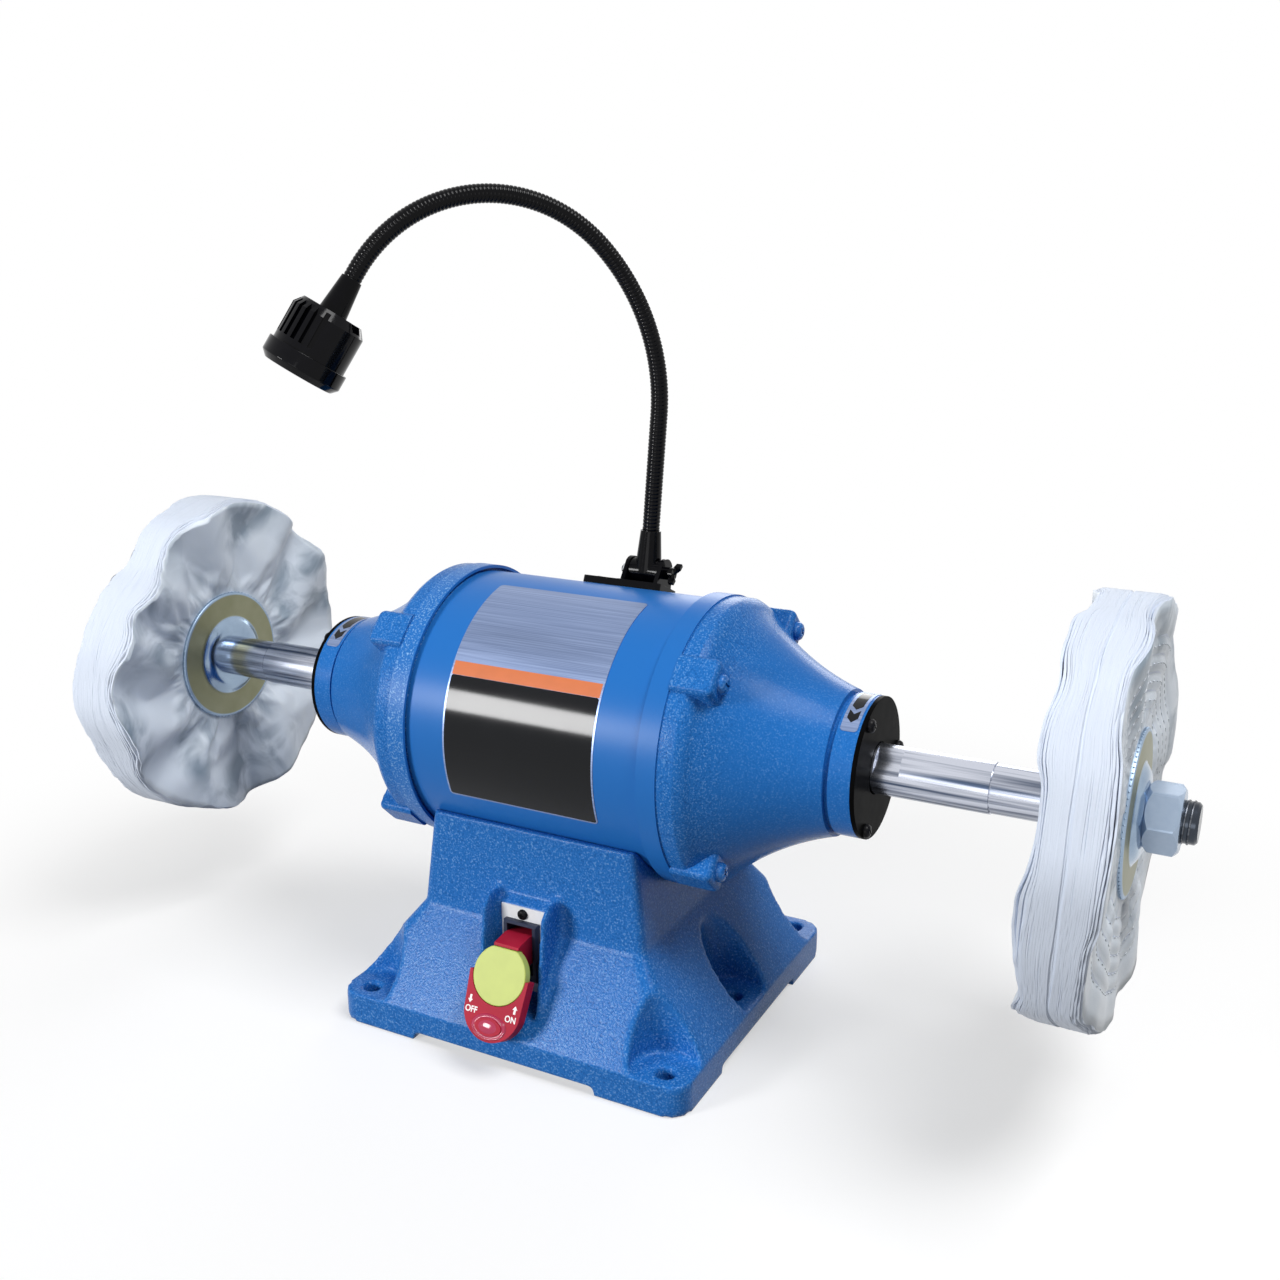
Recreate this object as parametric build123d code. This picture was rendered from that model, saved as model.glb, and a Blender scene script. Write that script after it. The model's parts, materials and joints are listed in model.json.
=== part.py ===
from build123d import *
import math
import os

# Bench buffer: a double-ended motor on a cast pedestal, a cotton wheel on each end of its spindle,
# a lockable paddle switch in front and a gooseneck lamp behind.
# Millimetres, +Z up, X along the spindle, -Y towards the operator.
# The origin is the centre of the base bolts, on the bench.

# Spindle axis and motor tube
SHAFT_HEIGHT = 210.0
TUBE_R = 95.0
TUBE_WALL = 10.0
TUBE_LENGTH = 204.0
TUBE_FLANGE_RISE = 4.3
TUBE_FLANGE_WIDTH = 13.5
UNDERCUT_DEPTH = 5.0
UNDERCUT_HEIGHT = 2.2

# Pedestal casting
BASE_LENGTH = 272.0
BASE_DEPTH = 252.0
PAD_HEIGHT = 22.0
KNEE_INSET_X = 48.5
KNEE_INSET_Y = 39.5
KNEE_HEIGHT = 86.0
LIP_INSET_X = 8.0
LIP_INSET_Y = 4.0
LIP_DROP = 56.0
PLATE_CORNER_R = 14.0
KNEE_CORNER_R = 6.0
LIP_CORNER_R = 5.0
CASTING_WALL = 9.0
SADDLE_WALL = 10.0
RELIEF_HEIGHT = 5.0
FOOT_LENGTH = 65.0
FOOT_DEPTH = 62.0

# Base bolts and the scoops that give a spanner room round them
BOLT_INSET_X = 19.0
BOLT_INSET_Y = 14.5
BOLT_HOLE_R = 6.5
SIDE_HOLE_Y = -4.0
SCOOP_R = 23.5
SCOOP_WALL = 6.0

# Bottom cover
COVER_THICKNESS = 2.0
COVER_CLEARANCE = 0.5
COVER_BOSS_R = 6.0
COVER_BOSS_HEIGHT = 14.0
COVER_SCREW_R = 2.5
COVER_SCREW_HEAD_R = 4.5
COVER_SCREW_HEAD = 2.5
COVER_SCREW_LENGTH = 12.0

# End bells
BELL_RIM_RISE = 3.2
BELL_RIM_WIDTH = 10.0
BELL_SHOULDER = 9.0
BELL_SHOULDER_DROP = 4.5
BELL_BULGE_X = 5.4
BELL_BULGE_DROP = 0.2
BELL_WAIST_X = 50.0
BELL_WAIST_DROP = 28.5
BELL_MOUTH_R = 48.5
BELL_WALL = 8.0
BELL_SPIGOT = 6.0
BELL_NECK_X = 90.0
GROOVE_WIDTH = 3.0
GROOVE_DEPTH = 2.0
COLLAR_R = 46.5
COLLAR_WIDTH = 14.5
LUG_LENGTH = 28.5
LUG_WIDTH = 26.0
LUG_RISE = 2.4
LUG_DEPTH = 24.0
LUG_EDGE_R = 4.0
LUG_CORNER_R = 5.0
LUG_ANGLE = 44.0
LUG_SPACING = 90.0
LUG_COUNT = 4
BELL_SCREW_R = 3.0
BELL_SCREW_HEAD_R = 6.5
BELL_SCREW_HEAD = 4.5
BELL_SCREW_REACH = 16.0

# Ball bearings, shielded, and their caps
BEARING_BORE = 35.0
BEARING_OD = 72.0
BEARING_WIDTH = 17.0
BEARING_RING = 5.5
SHIELD_THICKNESS = 0.8
SHIELD_INSET = 0.7
SHIELD_GAP = 0.4
SPRING_WASHER = 1.5
CAP_THICKNESS = 3.0
CAP_RUNNING_GAP = 0.8
CAP_SPIGOT = 3.5
CAP_SPIGOT_WALL = 5.0
CAP_SCREW_CIRCLE_R = 41.2
CAP_SCREW_COUNT = 3
CAP_SCREW_ANGLE = 121.0
CAP_SCREW_R = 2.0
CAP_SCREW_HEAD_R = 4.6
CAP_SCREW_HEAD = 3.6
CAP_SCREW_LENGTH = 9.0

# Stator, rotor and start gear
CORE_LENGTH = 100.0
STATOR_DEPTH = 30.0
AIR_GAP = 0.6
ROTOR_OVERHANG = 2.0
END_RING_WIDTH = 12.0
END_RING_DEPTH = 15.0
END_RING_INSET = 1.0
WINDING_LENGTH = 34.0
WINDING_SETBACK = 4.0
WINDING_CLEARANCE = 6.0
WINDING_ROUND = 7.0
START_BOARD_R = 44.0
START_BOARD_THICKNESS = 4.0
ACTUATOR_R = 33.0
ACTUATOR_WIDTH = 14.0
ACTUATOR_DISTANCE = 40.0

# Saddle screws, up through the pedestal into the tube
SADDLE_SCREW_R = 4.0
SADDLE_SCREW_HEAD_R = 6.5
SADDLE_SCREW_HEAD = 5.0
SADDLE_SCREW_BITE = 6.0
SADDLE_SCREW_X = 50.0
SADDLE_SCREW_Y = 25.0

# Spindle
SPINDLE_LENGTH = 812.8
THREAD_SHOWN = 9.4
CORE_SHAFT_R = 21.0
SHAFT_R = 16.5
STUB_R = 15.8
STUB_LENGTH = 43.3
LINE_WIDTH = 0.9
LINE_DEPTH = 0.5
ARBOR_R = 12.7
SPINDLE_CHAMFER = 1.5
FLAT_DISTANCE = 13.6
FLAT_START = 1.5
FLAT_WIDTH = 17.0
FLAT_ANGLE = 43.0

# Wheels, flanges and nuts
WHEEL_R = 127.0
PACK_THICKNESS = 15.8
PACK_RIM = 21.0
PACK_ROUND = 5.0
PACK_SWELL = 4.4
PACKS_PER_WHEEL = 2
FLANGE_R = 51.0
FLANGE_THICKNESS = 2.6
FLANGE_HUB_R = 19.0
FLANGE_DOME_R = 31.0
FLANGE_RISE = 7.5
NUT_ACROSS_FLATS = 38.1
NUT_THICKNESS = 20.0
NUT_CHAMFER = 1.8

# Switch boss and switch
BOSS_HALF = 25.0
CHEEK_THICKNESS = 3.5
PANEL_PROUD = 5.5
PANEL_TOP = 104.0
ROOF_TOP = 111.0
ROOF_RUN = 14.0
CHEEK_CROWN_REACH = 7.0
CHEEK_CROWN = 111.5
CHEEK_NOSE_REACH = 14.0
CHEEK_NOSE = 104.0
CHEEK_FOOT_REACH = 23.5
CHANNEL_FLOOR = 34.0
CHANNEL_REACH = 60.0
SWITCH_Z = 72.5
SWITCH_PLATE_WIDTH = 34.0
SWITCH_PLATE_HEIGHT = 61.4
SWITCH_PLATE_THICKNESS = 1.2
PLATE_SCREW_R = 2.0
PLATE_SCREW_HEAD_R = 3.7
PLATE_SCREW_HEAD = 2.6
PLATE_SCREW_LENGTH = 8.0
PLATE_SCREW_EDGE = 5.0
BEZEL_WIDTH = 26.6
BEZEL_HEIGHT = 42.5
BEZEL_DEPTH = 5.0
BEZEL_CHAMFER = 1.2
BODY_WIDTH = 24.0
BODY_HEIGHT = 38.0
BODY_DEPTH = 30.0
BODY_CLEARANCE = 0.3
POCKET_HALF = 9.9
POCKET_TOP = 92.0
POCKET_FLOOR = 57.0
POCKET_DEPTH = 22.0
SWITCH_PIVOT_DEPTH = 5.0
SWITCH_PIVOT_Z = 76.0
SWITCH_PIN_R = 1.5
RUNNING_GAP = 0.06

# Paddle and lockout key, drawn on the paddle's own tilted face
PADDLE_TILT = 25.0
KEY_REACH = 32.2
KEY_CENTRE_Z = 68.0
KEY_R = 20.0
KEY_TOP = 17.8
KEY_THICKNESS = 6.7
KEY_CLEARANCE = 0.3
TONGUE_HALF = 6.0
TONGUE_BOTTOM = 9.0
TONGUE_HEIGHT = 4.0
TONGUE_LENGTH = 11.0
PADDLE_HALF = 22.7
PADDLE_WAIST = 21.3
PADDLE_WAIST_DROP = 26.0
PADDLE_DROP = 44.0
PADDLE_THICKNESS = 8.5
NECK_HALF = 9.5
NECK_LIP = 1.9
NECK_FRONT = 1.7
NECK_TOP_RUN = 14.0
NECK_TOP_RISE = 11.0
NECK_HEEL = 4.0
NECK_HEEL_HALF = 8.0
THUMB_DROP = 34.0
THUMB_HALF = 11.0
THUMB_HEIGHT = 6.5
THUMB_RISE = 1.6
THUMB_TAPER = 8.0

# Start capacitor and its clamp, on the bottom cover
CAPACITOR_R = 23.0
CAPACITOR_LENGTH = 86.0
CAPACITOR_Y = 38.0
CLAMP_WIDTH = 16.0
CLAMP_THICKNESS = 1.5
CLAMP_FOOT = 14.0

# Cord gland on the rear of the pedestal
GLAND_X = 60.0
GLAND_Z = 46.0
GLAND_SEAT_R = 14.0
GLAND_SEAT_INSET = 5.0
GLAND_HEX = 22.0
GLAND_HEX_LENGTH = 6.0
GLAND_DOME_R = 10.0
GLAND_DOME_LENGTH = 13.0
GLAND_DOME_CHAMFER = 4.5
GLAND_THREAD_R = 8.0
GLAND_THREAD_LENGTH = 24.0
GLAND_BORE_R = 4.5

# Lamp bracket on the rear of the tube
BRACKET_ANGLE = 66.0
BRACKET_LENGTH = 61.0
BRACKET_WIDTH = 30.0
BRACKET_THICKNESS = 4.0
BRACKET_SINK = 1.6
YOKE_X = 24.0
BRACKET_END = 18.0
EAR_GAP = 23.0
EAR_THICKNESS = 3.0
EAR_R = 10.0
EAR_FOOT = 26.0
PIVOT_HEIGHT = 14.0
BRACKET_SCREW_R = 2.0
BRACKET_SCREW_HEAD_R = 3.6
BRACKET_SCREW_HEAD = 2.2
BRACKET_SCREW_BITE = 6.0
BRACKET_SCREW_SPREAD = 16.0

# Wing screw, knuckle and lower socket
WING_SCREW_R = 2.5
WING_HUB_R = 4.5
WING_HUB_LENGTH = 6.0
WING_SPAN = 9.0
WING_TIP = 4.0
WING_ROOT = 2.0
WING_THICKNESS = 2.6
WING_LENGTH = 9.0
WING_ANGLE = 35.0
PIVOT_NUT_FLATS = 8.0
PIVOT_NUT_THICKNESS = 4.0
PIVOT_SCREW_TAIL = 1.5
KNUCKLE_R = 9.0
KNUCKLE_CLEARANCE = 0.3
SOCKET_BASE_R = 9.6
SOCKET_TOP_R = 7.2
SOCKET_LENGTH = 29.5
SOCKET_FLOOR = 19.5

# Gooseneck: a straight run and two arcs in one upright plane
NECK_HEADING = 225.0
NECK_LEAN = 4.0
NECK_STRAIGHT = 90.5
NECK_FIRST_ARC_R = 149.0
NECK_SECOND_ARC_R = 101.8
NECK_FIRST_TURN = 47.2
NECK_SECOND_TURN = 104.3
NECK_RUN_OUT = 9.0
NECK_TAIL = 12.0
NECK_CREST_R = 6.0
NECK_VALLEY_R = 5.5
NECK_BORE_R = 3.4
NECK_RIBS = 164
RIB_CREST_START = 0.3
RIB_CREST_END = 0.7
NECK_FIT = 0.3

# Lamp head
FERRULE_LENGTH = 24.0
FERRULE_TOP_R = 6.8
FERRULE_BASE_R = 9.3
FERRULE_OVERLAP = 3.0
HEAD_R = 24.4
HEAD_BACK_R = 20.0
HEAD_BACK_SLOPE = 6.0
HEAD_LENGTH = 31.0
HEAD_WALL = 4.0
FIN_SLOTS = 6
FIN_SLOT_WIDTH = 3.2
FIN_SLOT_DEPTH = 3.0
FIN_PITCH = 15.0
FIN_CENTRES = (48.0, 228.0)
FIN_LENGTH = 26.5
NOTCH_WIDTH = 9.0
NOTCH_DEPTH = 4.5
NOTCH_ANGLE = 313.0
LAMP_BEZEL_R = 26.6
LAMP_BEZEL_LENGTH = 14.0
LAMP_BEZEL_LIP_R = 22.8
LAMP_BEZEL_CHAMFER = 4.0
LAMP_BEZEL_FRONT = 2.5
LAMP_BEZEL_WALL = 5.2
LAMP_BEZEL_STEP = 1.0
LAMP_OPENING_R = 19.5
LENS_THICKNESS = 3.0
LED_BOARD_R = 17.0
LED_BOARD_THICKNESS = 4.0
LED_R = 6.0
LED_RISE = 4.0
LED_TAPER = 20.0

# Screw heads: the crown's share of the head's height and of its radius
CROWN_HEIGHT = 0.45
CROWN_RADIUS = 0.6

# Clearance of pieces that seat in one another on the same body, and how far a cut runs past a face
SEAT_GAP = 0.05
OVERCUT = 1.0

# Places worked out from the sizes above
BELL_JOINT = TUBE_LENGTH / 2
TUBE_BORE_R = TUBE_R - TUBE_WALL
TUBE_FLANGE_R = TUBE_R + TUBE_FLANGE_RISE
BELL_RIM_R = TUBE_R + BELL_RIM_RISE
STATOR_BORE_R = TUBE_BORE_R - STATOR_DEPTH
WINDING_INNER_R = STATOR_BORE_R + WINDING_SETBACK
WINDING_OUTER_R = TUBE_BORE_R - WINDING_CLEARANCE
LUG_CIRCLE_R = TUBE_R - TUBE_WALL / 2
COLLAR_END = BELL_JOINT + BELL_NECK_X + GROOVE_WIDTH + COLLAR_WIDTH
CAP_FACE = COLLAR_END + CAP_THICKNESS
BEARING_OUTER = COLLAR_END - CAP_SPIGOT
BEARING_INNER = BEARING_OUTER - BEARING_WIDTH
SHAFT_END = SPINDLE_LENGTH / 2
NUT_FACE = SHAFT_END - NUT_THICKNESS - THREAD_SHOWN
OUTER_PLANE = NUT_FACE - FLANGE_RISE
INNER_PLANE = OUTER_PLANE - PACKS_PER_WHEEL * PACK_THICKNESS
SHOULDER = INNER_PLANE - FLANGE_RISE
KNEE_LENGTH = BASE_LENGTH - 2 * KNEE_INSET_X
KNEE_DEPTH = BASE_DEPTH - 2 * KNEE_INSET_Y
LIP_LENGTH = KNEE_LENGTH - 2 * LIP_INSET_X
LIP_DEPTH = KNEE_DEPTH - 2 * LIP_INSET_Y
LIP_HEIGHT = SHAFT_HEIGHT - LIP_DROP
COVER_TOP = RELIEF_HEIGHT + COVER_THICKNESS
CAVITY_TOP = SHAFT_HEIGHT - TUBE_R - SADDLE_WALL
HOLE_X = BASE_LENGTH / 2 - BOLT_INSET_X
HOLE_Y = BASE_DEPTH / 2 - BOLT_INSET_Y
CORNER_HOLES = [(x, y) for x in (-HOLE_X, HOLE_X) for y in (-HOLE_Y, HOLE_Y)]
SIDE_HOLES = [(x, SIDE_HOLE_Y) for x in (-HOLE_X, HOLE_X)]
PANEL_Y = -KNEE_DEPTH / 2 - PANEL_PROUD
CHEEK_CROWN_Y = PANEL_Y - CHEEK_CROWN_REACH
CHEEK_NOSE_Y = PANEL_Y - CHEEK_NOSE_REACH
CHEEK_FOOT_Y = PANEL_Y - CHEEK_FOOT_REACH
SWITCH_PIVOT_Y = PANEL_Y + SWITCH_PIVOT_DEPTH
KEY_CENTRE_Y = PANEL_Y - KEY_REACH
GLAND_SEAT_Y = BASE_DEPTH / 2 - GLAND_SEAT_INSET
SIDES = {"left": -1, "right": 1}


def raised(shape):
    """Lift a shape that was drawn about the X axis to the spindle's height."""
    return Pos(0, 0, SHAFT_HEIGHT) * shape


def turned(outline):
    """Solid of revolution about the spindle axis, from (x, radius) points."""
    return raised(revolve(make_face(Polyline(*outline, close=True)), Axis.X))


def ring(inner, outer, start, end):
    """Plain ring about the spindle axis."""
    return turned([(start, inner), (end, inner), (end, outer), (start, outer)])


def on_side(shape, side):
    """The shape as drawn for the +X end, mirrored when it belongs to the -X end."""
    return shape if side > 0 else mirror(shape, about=Plane.YZ)


def slab_x(points, low, high):
    """Prism along X between low and high, from (y, z) points."""
    face = Plane.YZ.offset(low) * make_face(Polyline(*points, close=True))
    return extrude(face, amount=high - low)


def rod_x(radius, low, high, y, z):
    """Cylinder along X."""
    start = Plane(origin=(low, y, z), x_dir=(0, 1, 0), z_dir=(1, 0, 0))
    return extrude(start * Circle(radius), amount=high - low)


def hexagon_x(across_flats, low, high, y, z):
    """Hexagonal bar along X."""
    start = Plane(origin=(low, y, z), x_dir=(0, 1, 0), z_dir=(1, 0, 0))
    face = start * RegularPolygon(across_flats / 2, 6, major_radius=False)
    return extrude(face, amount=high - low)


def column(radius, low, high, x, y):
    """Upright cylinder."""
    return extrude(Pos(x, y, low) * Circle(radius), amount=high - low)


def frustum(lower, upper):
    """Tapered block between two rounded rectangles, each (length, depth, corner, z)."""
    faces = [Pos(0, 0, z) * RectangleRounded(*size) for *size, z in (lower, upper)]
    return loft(faces, ruled=True)


def block(low, high):
    """Box between two corners."""
    size = [b - a for a, b in zip(low, high)]
    return Pos(*low) * Box(*size, align=(Align.MIN, Align.MIN, Align.MIN))


def lathe(outline):
    """Solid of revolution about Z, from (radius, z) points."""
    points = [(radius, 0, z) for radius, z in outline]
    return revolve(make_face(Polyline(*points, close=True)), Axis.Z)


def pan_screw(radius, length, head_r, head):
    """Screw along Z, its head's underside at z = 0 and its shank below."""
    edge = head * (1 - CROWN_HEIGHT)
    outline = [(0, -length), (radius, -length), (radius, 0), (head_r, 0)]
    outline += [(head_r, edge), (head_r * CROWN_RADIUS, head), (0, head)]
    return lathe(outline)


def pedestal_size(z):
    """Length and depth of the pedestal's upper block at a height."""
    share = (z - KNEE_HEIGHT) / (LIP_HEIGHT - KNEE_HEIGHT)
    length = KNEE_LENGTH + share * (LIP_LENGTH - KNEE_LENGTH)
    depth = KNEE_DEPTH + share * (LIP_DEPTH - KNEE_DEPTH)
    return length, depth


def motor_cylinder(radius):
    """Cylinder about the spindle, longer than the pedestal."""
    return raised(Rot(0, 90, 0) * Cylinder(radius, BASE_LENGTH))


# Pedestal
def pedestal_block():
    """Bolt plate, sloping skirt and upper block, before anything is cut."""
    plate = extrude(RectangleRounded(BASE_LENGTH, BASE_DEPTH, PLATE_CORNER_R), amount=PAD_HEIGHT)
    foot = (BASE_LENGTH, BASE_DEPTH, PLATE_CORNER_R, PAD_HEIGHT)
    knee = (KNEE_LENGTH, KNEE_DEPTH, KNEE_CORNER_R, KNEE_HEIGHT)
    lip = (LIP_LENGTH, LIP_DEPTH, LIP_CORNER_R, LIP_HEIGHT)
    return plate + frustum(foot, knee) + frustum(knee, lip)


def switch_boss():
    """Panel block and the two cheeks that guard the paddle."""
    panel = [
        (PANEL_Y + CHANNEL_REACH, CHANNEL_FLOOR),
        (PANEL_Y, CHANNEL_FLOOR),
        (PANEL_Y, PANEL_TOP),
        (PANEL_Y + ROOF_RUN, ROOF_TOP),
        (PANEL_Y + CHANNEL_REACH, ROOF_TOP),
    ]
    cheek = [
        (PANEL_Y + CHANNEL_REACH, CHANNEL_FLOOR),
        (CHEEK_FOOT_Y, CHANNEL_FLOOR),
        (CHEEK_NOSE_Y, CHEEK_NOSE),
        (CHEEK_CROWN_Y, CHEEK_CROWN),
        (PANEL_Y + ROOF_RUN, ROOF_TOP),
        (PANEL_Y + CHANNEL_REACH, ROOF_TOP),
    ]
    boss = slab_x(panel, -BOSS_HALF, BOSS_HALF)
    boss += slab_x(cheek, -BOSS_HALF, CHEEK_THICKNESS - BOSS_HALF)
    boss += slab_x(cheek, BOSS_HALF - CHEEK_THICKNESS, BOSS_HALF)
    return boss - motor_cylinder(TUBE_R + SEAT_GAP)


def pedestal_cavity():
    """Hollow under the pedestal, clear of the bolt columns and of the switch channel."""
    wall = 2 * CASTING_WALL
    corner = PLATE_CORNER_R / 2
    foot = (BASE_LENGTH - wall, BASE_DEPTH - wall, corner, PAD_HEIGHT)
    knee = (KNEE_LENGTH - wall, KNEE_DEPTH - wall, corner, KNEE_HEIGHT)
    top_length, top_depth = pedestal_size(CAVITY_TOP)
    top = (top_length - wall, top_depth - wall, corner, CAVITY_TOP)
    hollow = extrude(RectangleRounded(*foot[:3]), amount=PAD_HEIGHT)
    hollow += frustum(foot, knee) + frustum(knee, top)
    for x, y in CORNER_HOLES + SIDE_HOLES:
        hollow -= column(SCOOP_R + SCOOP_WALL, 0, LIP_HEIGHT, x, y)
    for x, y in cover_screw_places():
        hollow -= column(COVER_BOSS_R, COVER_TOP, COVER_TOP + COVER_BOSS_HEIGHT, x, y)
    guard = BOSS_HALF + CASTING_WALL - CHEEK_THICKNESS
    back = PANEL_Y + CASTING_WALL
    hollow -= block((-guard, -BASE_DEPTH, 0), (guard, back, LIP_HEIGHT))
    seat_inside = GLAND_SEAT_Y - GLAND_THREAD_LENGTH + GLAND_HEX_LENGTH
    hollow -= gland_rod(GLAND_SEAT_R, seat_inside, GLAND_SEAT_Y)
    return hollow


def cover_screw_places():
    """Screws of the bottom cover, beside the corner columns on the way to the middle."""
    reach = SCOOP_R + SCOOP_WALL + COVER_BOSS_R - COVER_CLEARANCE
    places = []
    for x, y in CORNER_HOLES:
        span = math.hypot(x, y)
        places.append((x * (1 - reach / span), y * (1 - reach / span)))
    return places


def gland_rod(radius, start, end):
    """Cylinder along Y on the cord gland's axis."""
    seat = Plane(origin=(GLAND_X, start, GLAND_Z), x_dir=(1, 0, 0), z_dir=(0, 1, 0))
    return extrude(seat * Circle(radius), amount=end - start)


def saddle_screw_places():
    """X and Y of the screws between pedestal and tube."""
    return [(x, y) for x in (-SADDLE_SCREW_X, SADDLE_SCREW_X) for y in (-SADDLE_SCREW_Y, SADDLE_SCREW_Y)]


def base_casting():
    casting = pedestal_block() + switch_boss()
    casting += gland_rod(GLAND_SEAT_R, GLAND_SEAT_Y - CASTING_WALL * 2, GLAND_SEAT_Y)
    for x, y in CORNER_HOLES + SIDE_HOLES:
        casting -= column(SCOOP_R, PAD_HEIGHT, LIP_HEIGHT, x, y)
    channel = BOSS_HALF - CHEEK_THICKNESS
    casting -= block((-channel, -BASE_DEPTH, CHANNEL_FLOOR), (channel, PANEL_Y, LIP_HEIGHT))
    casting -= motor_cylinder(TUBE_R + SEAT_GAP)
    casting -= pedestal_cavity()
    relief_x = BASE_LENGTH / 2 - FOOT_LENGTH
    relief_y = BASE_DEPTH / 2 - FOOT_DEPTH
    casting -= block((-relief_x, -BASE_DEPTH, 0), (relief_x, BASE_DEPTH, RELIEF_HEIGHT))
    casting -= block((-BASE_LENGTH, -relief_y, 0), (BASE_LENGTH, relief_y, RELIEF_HEIGHT))
    for x, y in CORNER_HOLES + SIDE_HOLES:
        casting -= column(BOLT_HOLE_R, 0, LIP_HEIGHT, x, y)
    for x, y in cover_screw_places():
        casting -= column(COVER_SCREW_R + SEAT_GAP, 0, COVER_TOP + COVER_SCREW_LENGTH, x, y)
    for x, y in saddle_screw_places():
        casting -= column(SADDLE_SCREW_R + SEAT_GAP, CAVITY_TOP - SADDLE_WALL, SHAFT_HEIGHT, x, y)
    half = BODY_WIDTH / 2 + BODY_CLEARANCE
    rise = BODY_HEIGHT / 2 + BODY_CLEARANCE
    casting -= block((-half, PANEL_Y, SWITCH_Z - rise), (half, 0, SWITCH_Z + rise))
    for z in plate_screw_heights():
        casting -= plate_screw_hole(PANEL_Y + PLATE_SCREW_LENGTH, z)
    casting -= gland_rod(GLAND_THREAD_R + SEAT_GAP, 0, GLAND_SEAT_Y)
    return casting


def bottom_cover():
    wall = 2 * (CASTING_WALL + COVER_CLEARANCE)
    outline = RectangleRounded(BASE_LENGTH - wall, BASE_DEPTH - wall, PLATE_CORNER_R / 2)
    cover = extrude(Pos(0, 0, RELIEF_HEIGHT) * outline, amount=COVER_THICKNESS)
    for x, y in CORNER_HOLES + SIDE_HOLES:
        cover -= column(SCOOP_R + SCOOP_WALL + COVER_CLEARANCE, 0, COVER_TOP, x, y)
    for x, y in cover_screw_places():
        cover -= column(COVER_SCREW_R + COVER_CLEARANCE, 0, COVER_TOP, x, y)
    guard = BOSS_HALF + CASTING_WALL - CHEEK_THICKNESS + COVER_CLEARANCE
    back = PANEL_Y + CASTING_WALL + COVER_CLEARANCE
    return cover - block((-guard, -BASE_DEPTH, 0), (guard, back, COVER_TOP))


def bottom_cover_screws():
    screw = pan_screw(COVER_SCREW_R, COVER_SCREW_LENGTH, COVER_SCREW_HEAD_R, COVER_SCREW_HEAD)
    turned_up = Rot(180, 0, 0) * screw
    return [Pos(x, y, RELIEF_HEIGHT) * turned_up for x, y in cover_screw_places()]


def saddle_screws():
    screws = []
    for x, y in saddle_screw_places():
        tube_bottom = SHAFT_HEIGHT - math.sqrt(TUBE_R ** 2 - y ** 2)
        shank = column(SADDLE_SCREW_R, CAVITY_TOP, tube_bottom + SADDLE_SCREW_BITE, x, y)
        head = column(SADDLE_SCREW_HEAD_R, CAVITY_TOP - SADDLE_SCREW_HEAD, CAVITY_TOP, x, y)
        screws.append(shank + head)
    return screws


def cord_gland():
    seat = Plane(origin=(GLAND_X, GLAND_SEAT_Y, GLAND_Z), x_dir=(1, 0, 0), z_dir=(0, 1, 0))
    hexagon = extrude(seat * RegularPolygon(GLAND_HEX / 2, 6, major_radius=False), amount=GLAND_HEX_LENGTH)
    dome_start = GLAND_SEAT_Y + GLAND_HEX_LENGTH
    dome_end = dome_start + GLAND_DOME_LENGTH
    dome = gland_rod(GLAND_DOME_R, dome_start, dome_end)
    dome = chamfer(dome.edges().sort_by(Axis.Y)[-1], GLAND_DOME_CHAMFER)
    thread = gland_rod(GLAND_THREAD_R, GLAND_SEAT_Y - GLAND_THREAD_LENGTH, GLAND_SEAT_Y)
    return hexagon + dome + thread - gland_rod(GLAND_BORE_R, 0, dome_end)


def start_capacitor():
    half = CAPACITOR_LENGTH / 2
    return rod_x(CAPACITOR_R, -half, half, CAPACITOR_Y, COVER_TOP + CAPACITOR_R)


def capacitor_clamp():
    """Strap bent over the capacitor, with a foot on each side."""
    axis_z = COVER_TOP + CAPACITOR_R
    inner = CAPACITOR_R + SEAT_GAP
    outer = inner + CLAMP_THICKNESS
    half = CLAMP_WIDTH / 2
    strap = rod_x(outer, -half, half, CAPACITOR_Y, axis_z)
    strap += block((-half, CAPACITOR_Y - outer, COVER_TOP), (half, CAPACITOR_Y + outer, axis_z))
    strap -= rod_x(inner, -half, half, CAPACITOR_Y, axis_z)
    strap -= block((-half, CAPACITOR_Y - inner, 0), (half, CAPACITOR_Y + inner, axis_z))
    for way in (-1, 1):
        near = CAPACITOR_Y + way * inner
        far = CAPACITOR_Y + way * (outer + CLAMP_FOOT)
        low, high = sorted((near, far))
        strap += block((-half, low, COVER_TOP), (half, high, COVER_TOP + CLAMP_THICKNESS))
    return strap


# Motor
def lug_angles():
    return [180 - LUG_ANGLE - i * LUG_SPACING for i in range(LUG_COUNT)]


def around(shape, angle):
    """Turn a shape drawn at +Y of the X axis to an angle about that axis, and lift it to the spindle."""
    return raised(Rot(angle, 0, 0) * shape)


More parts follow.
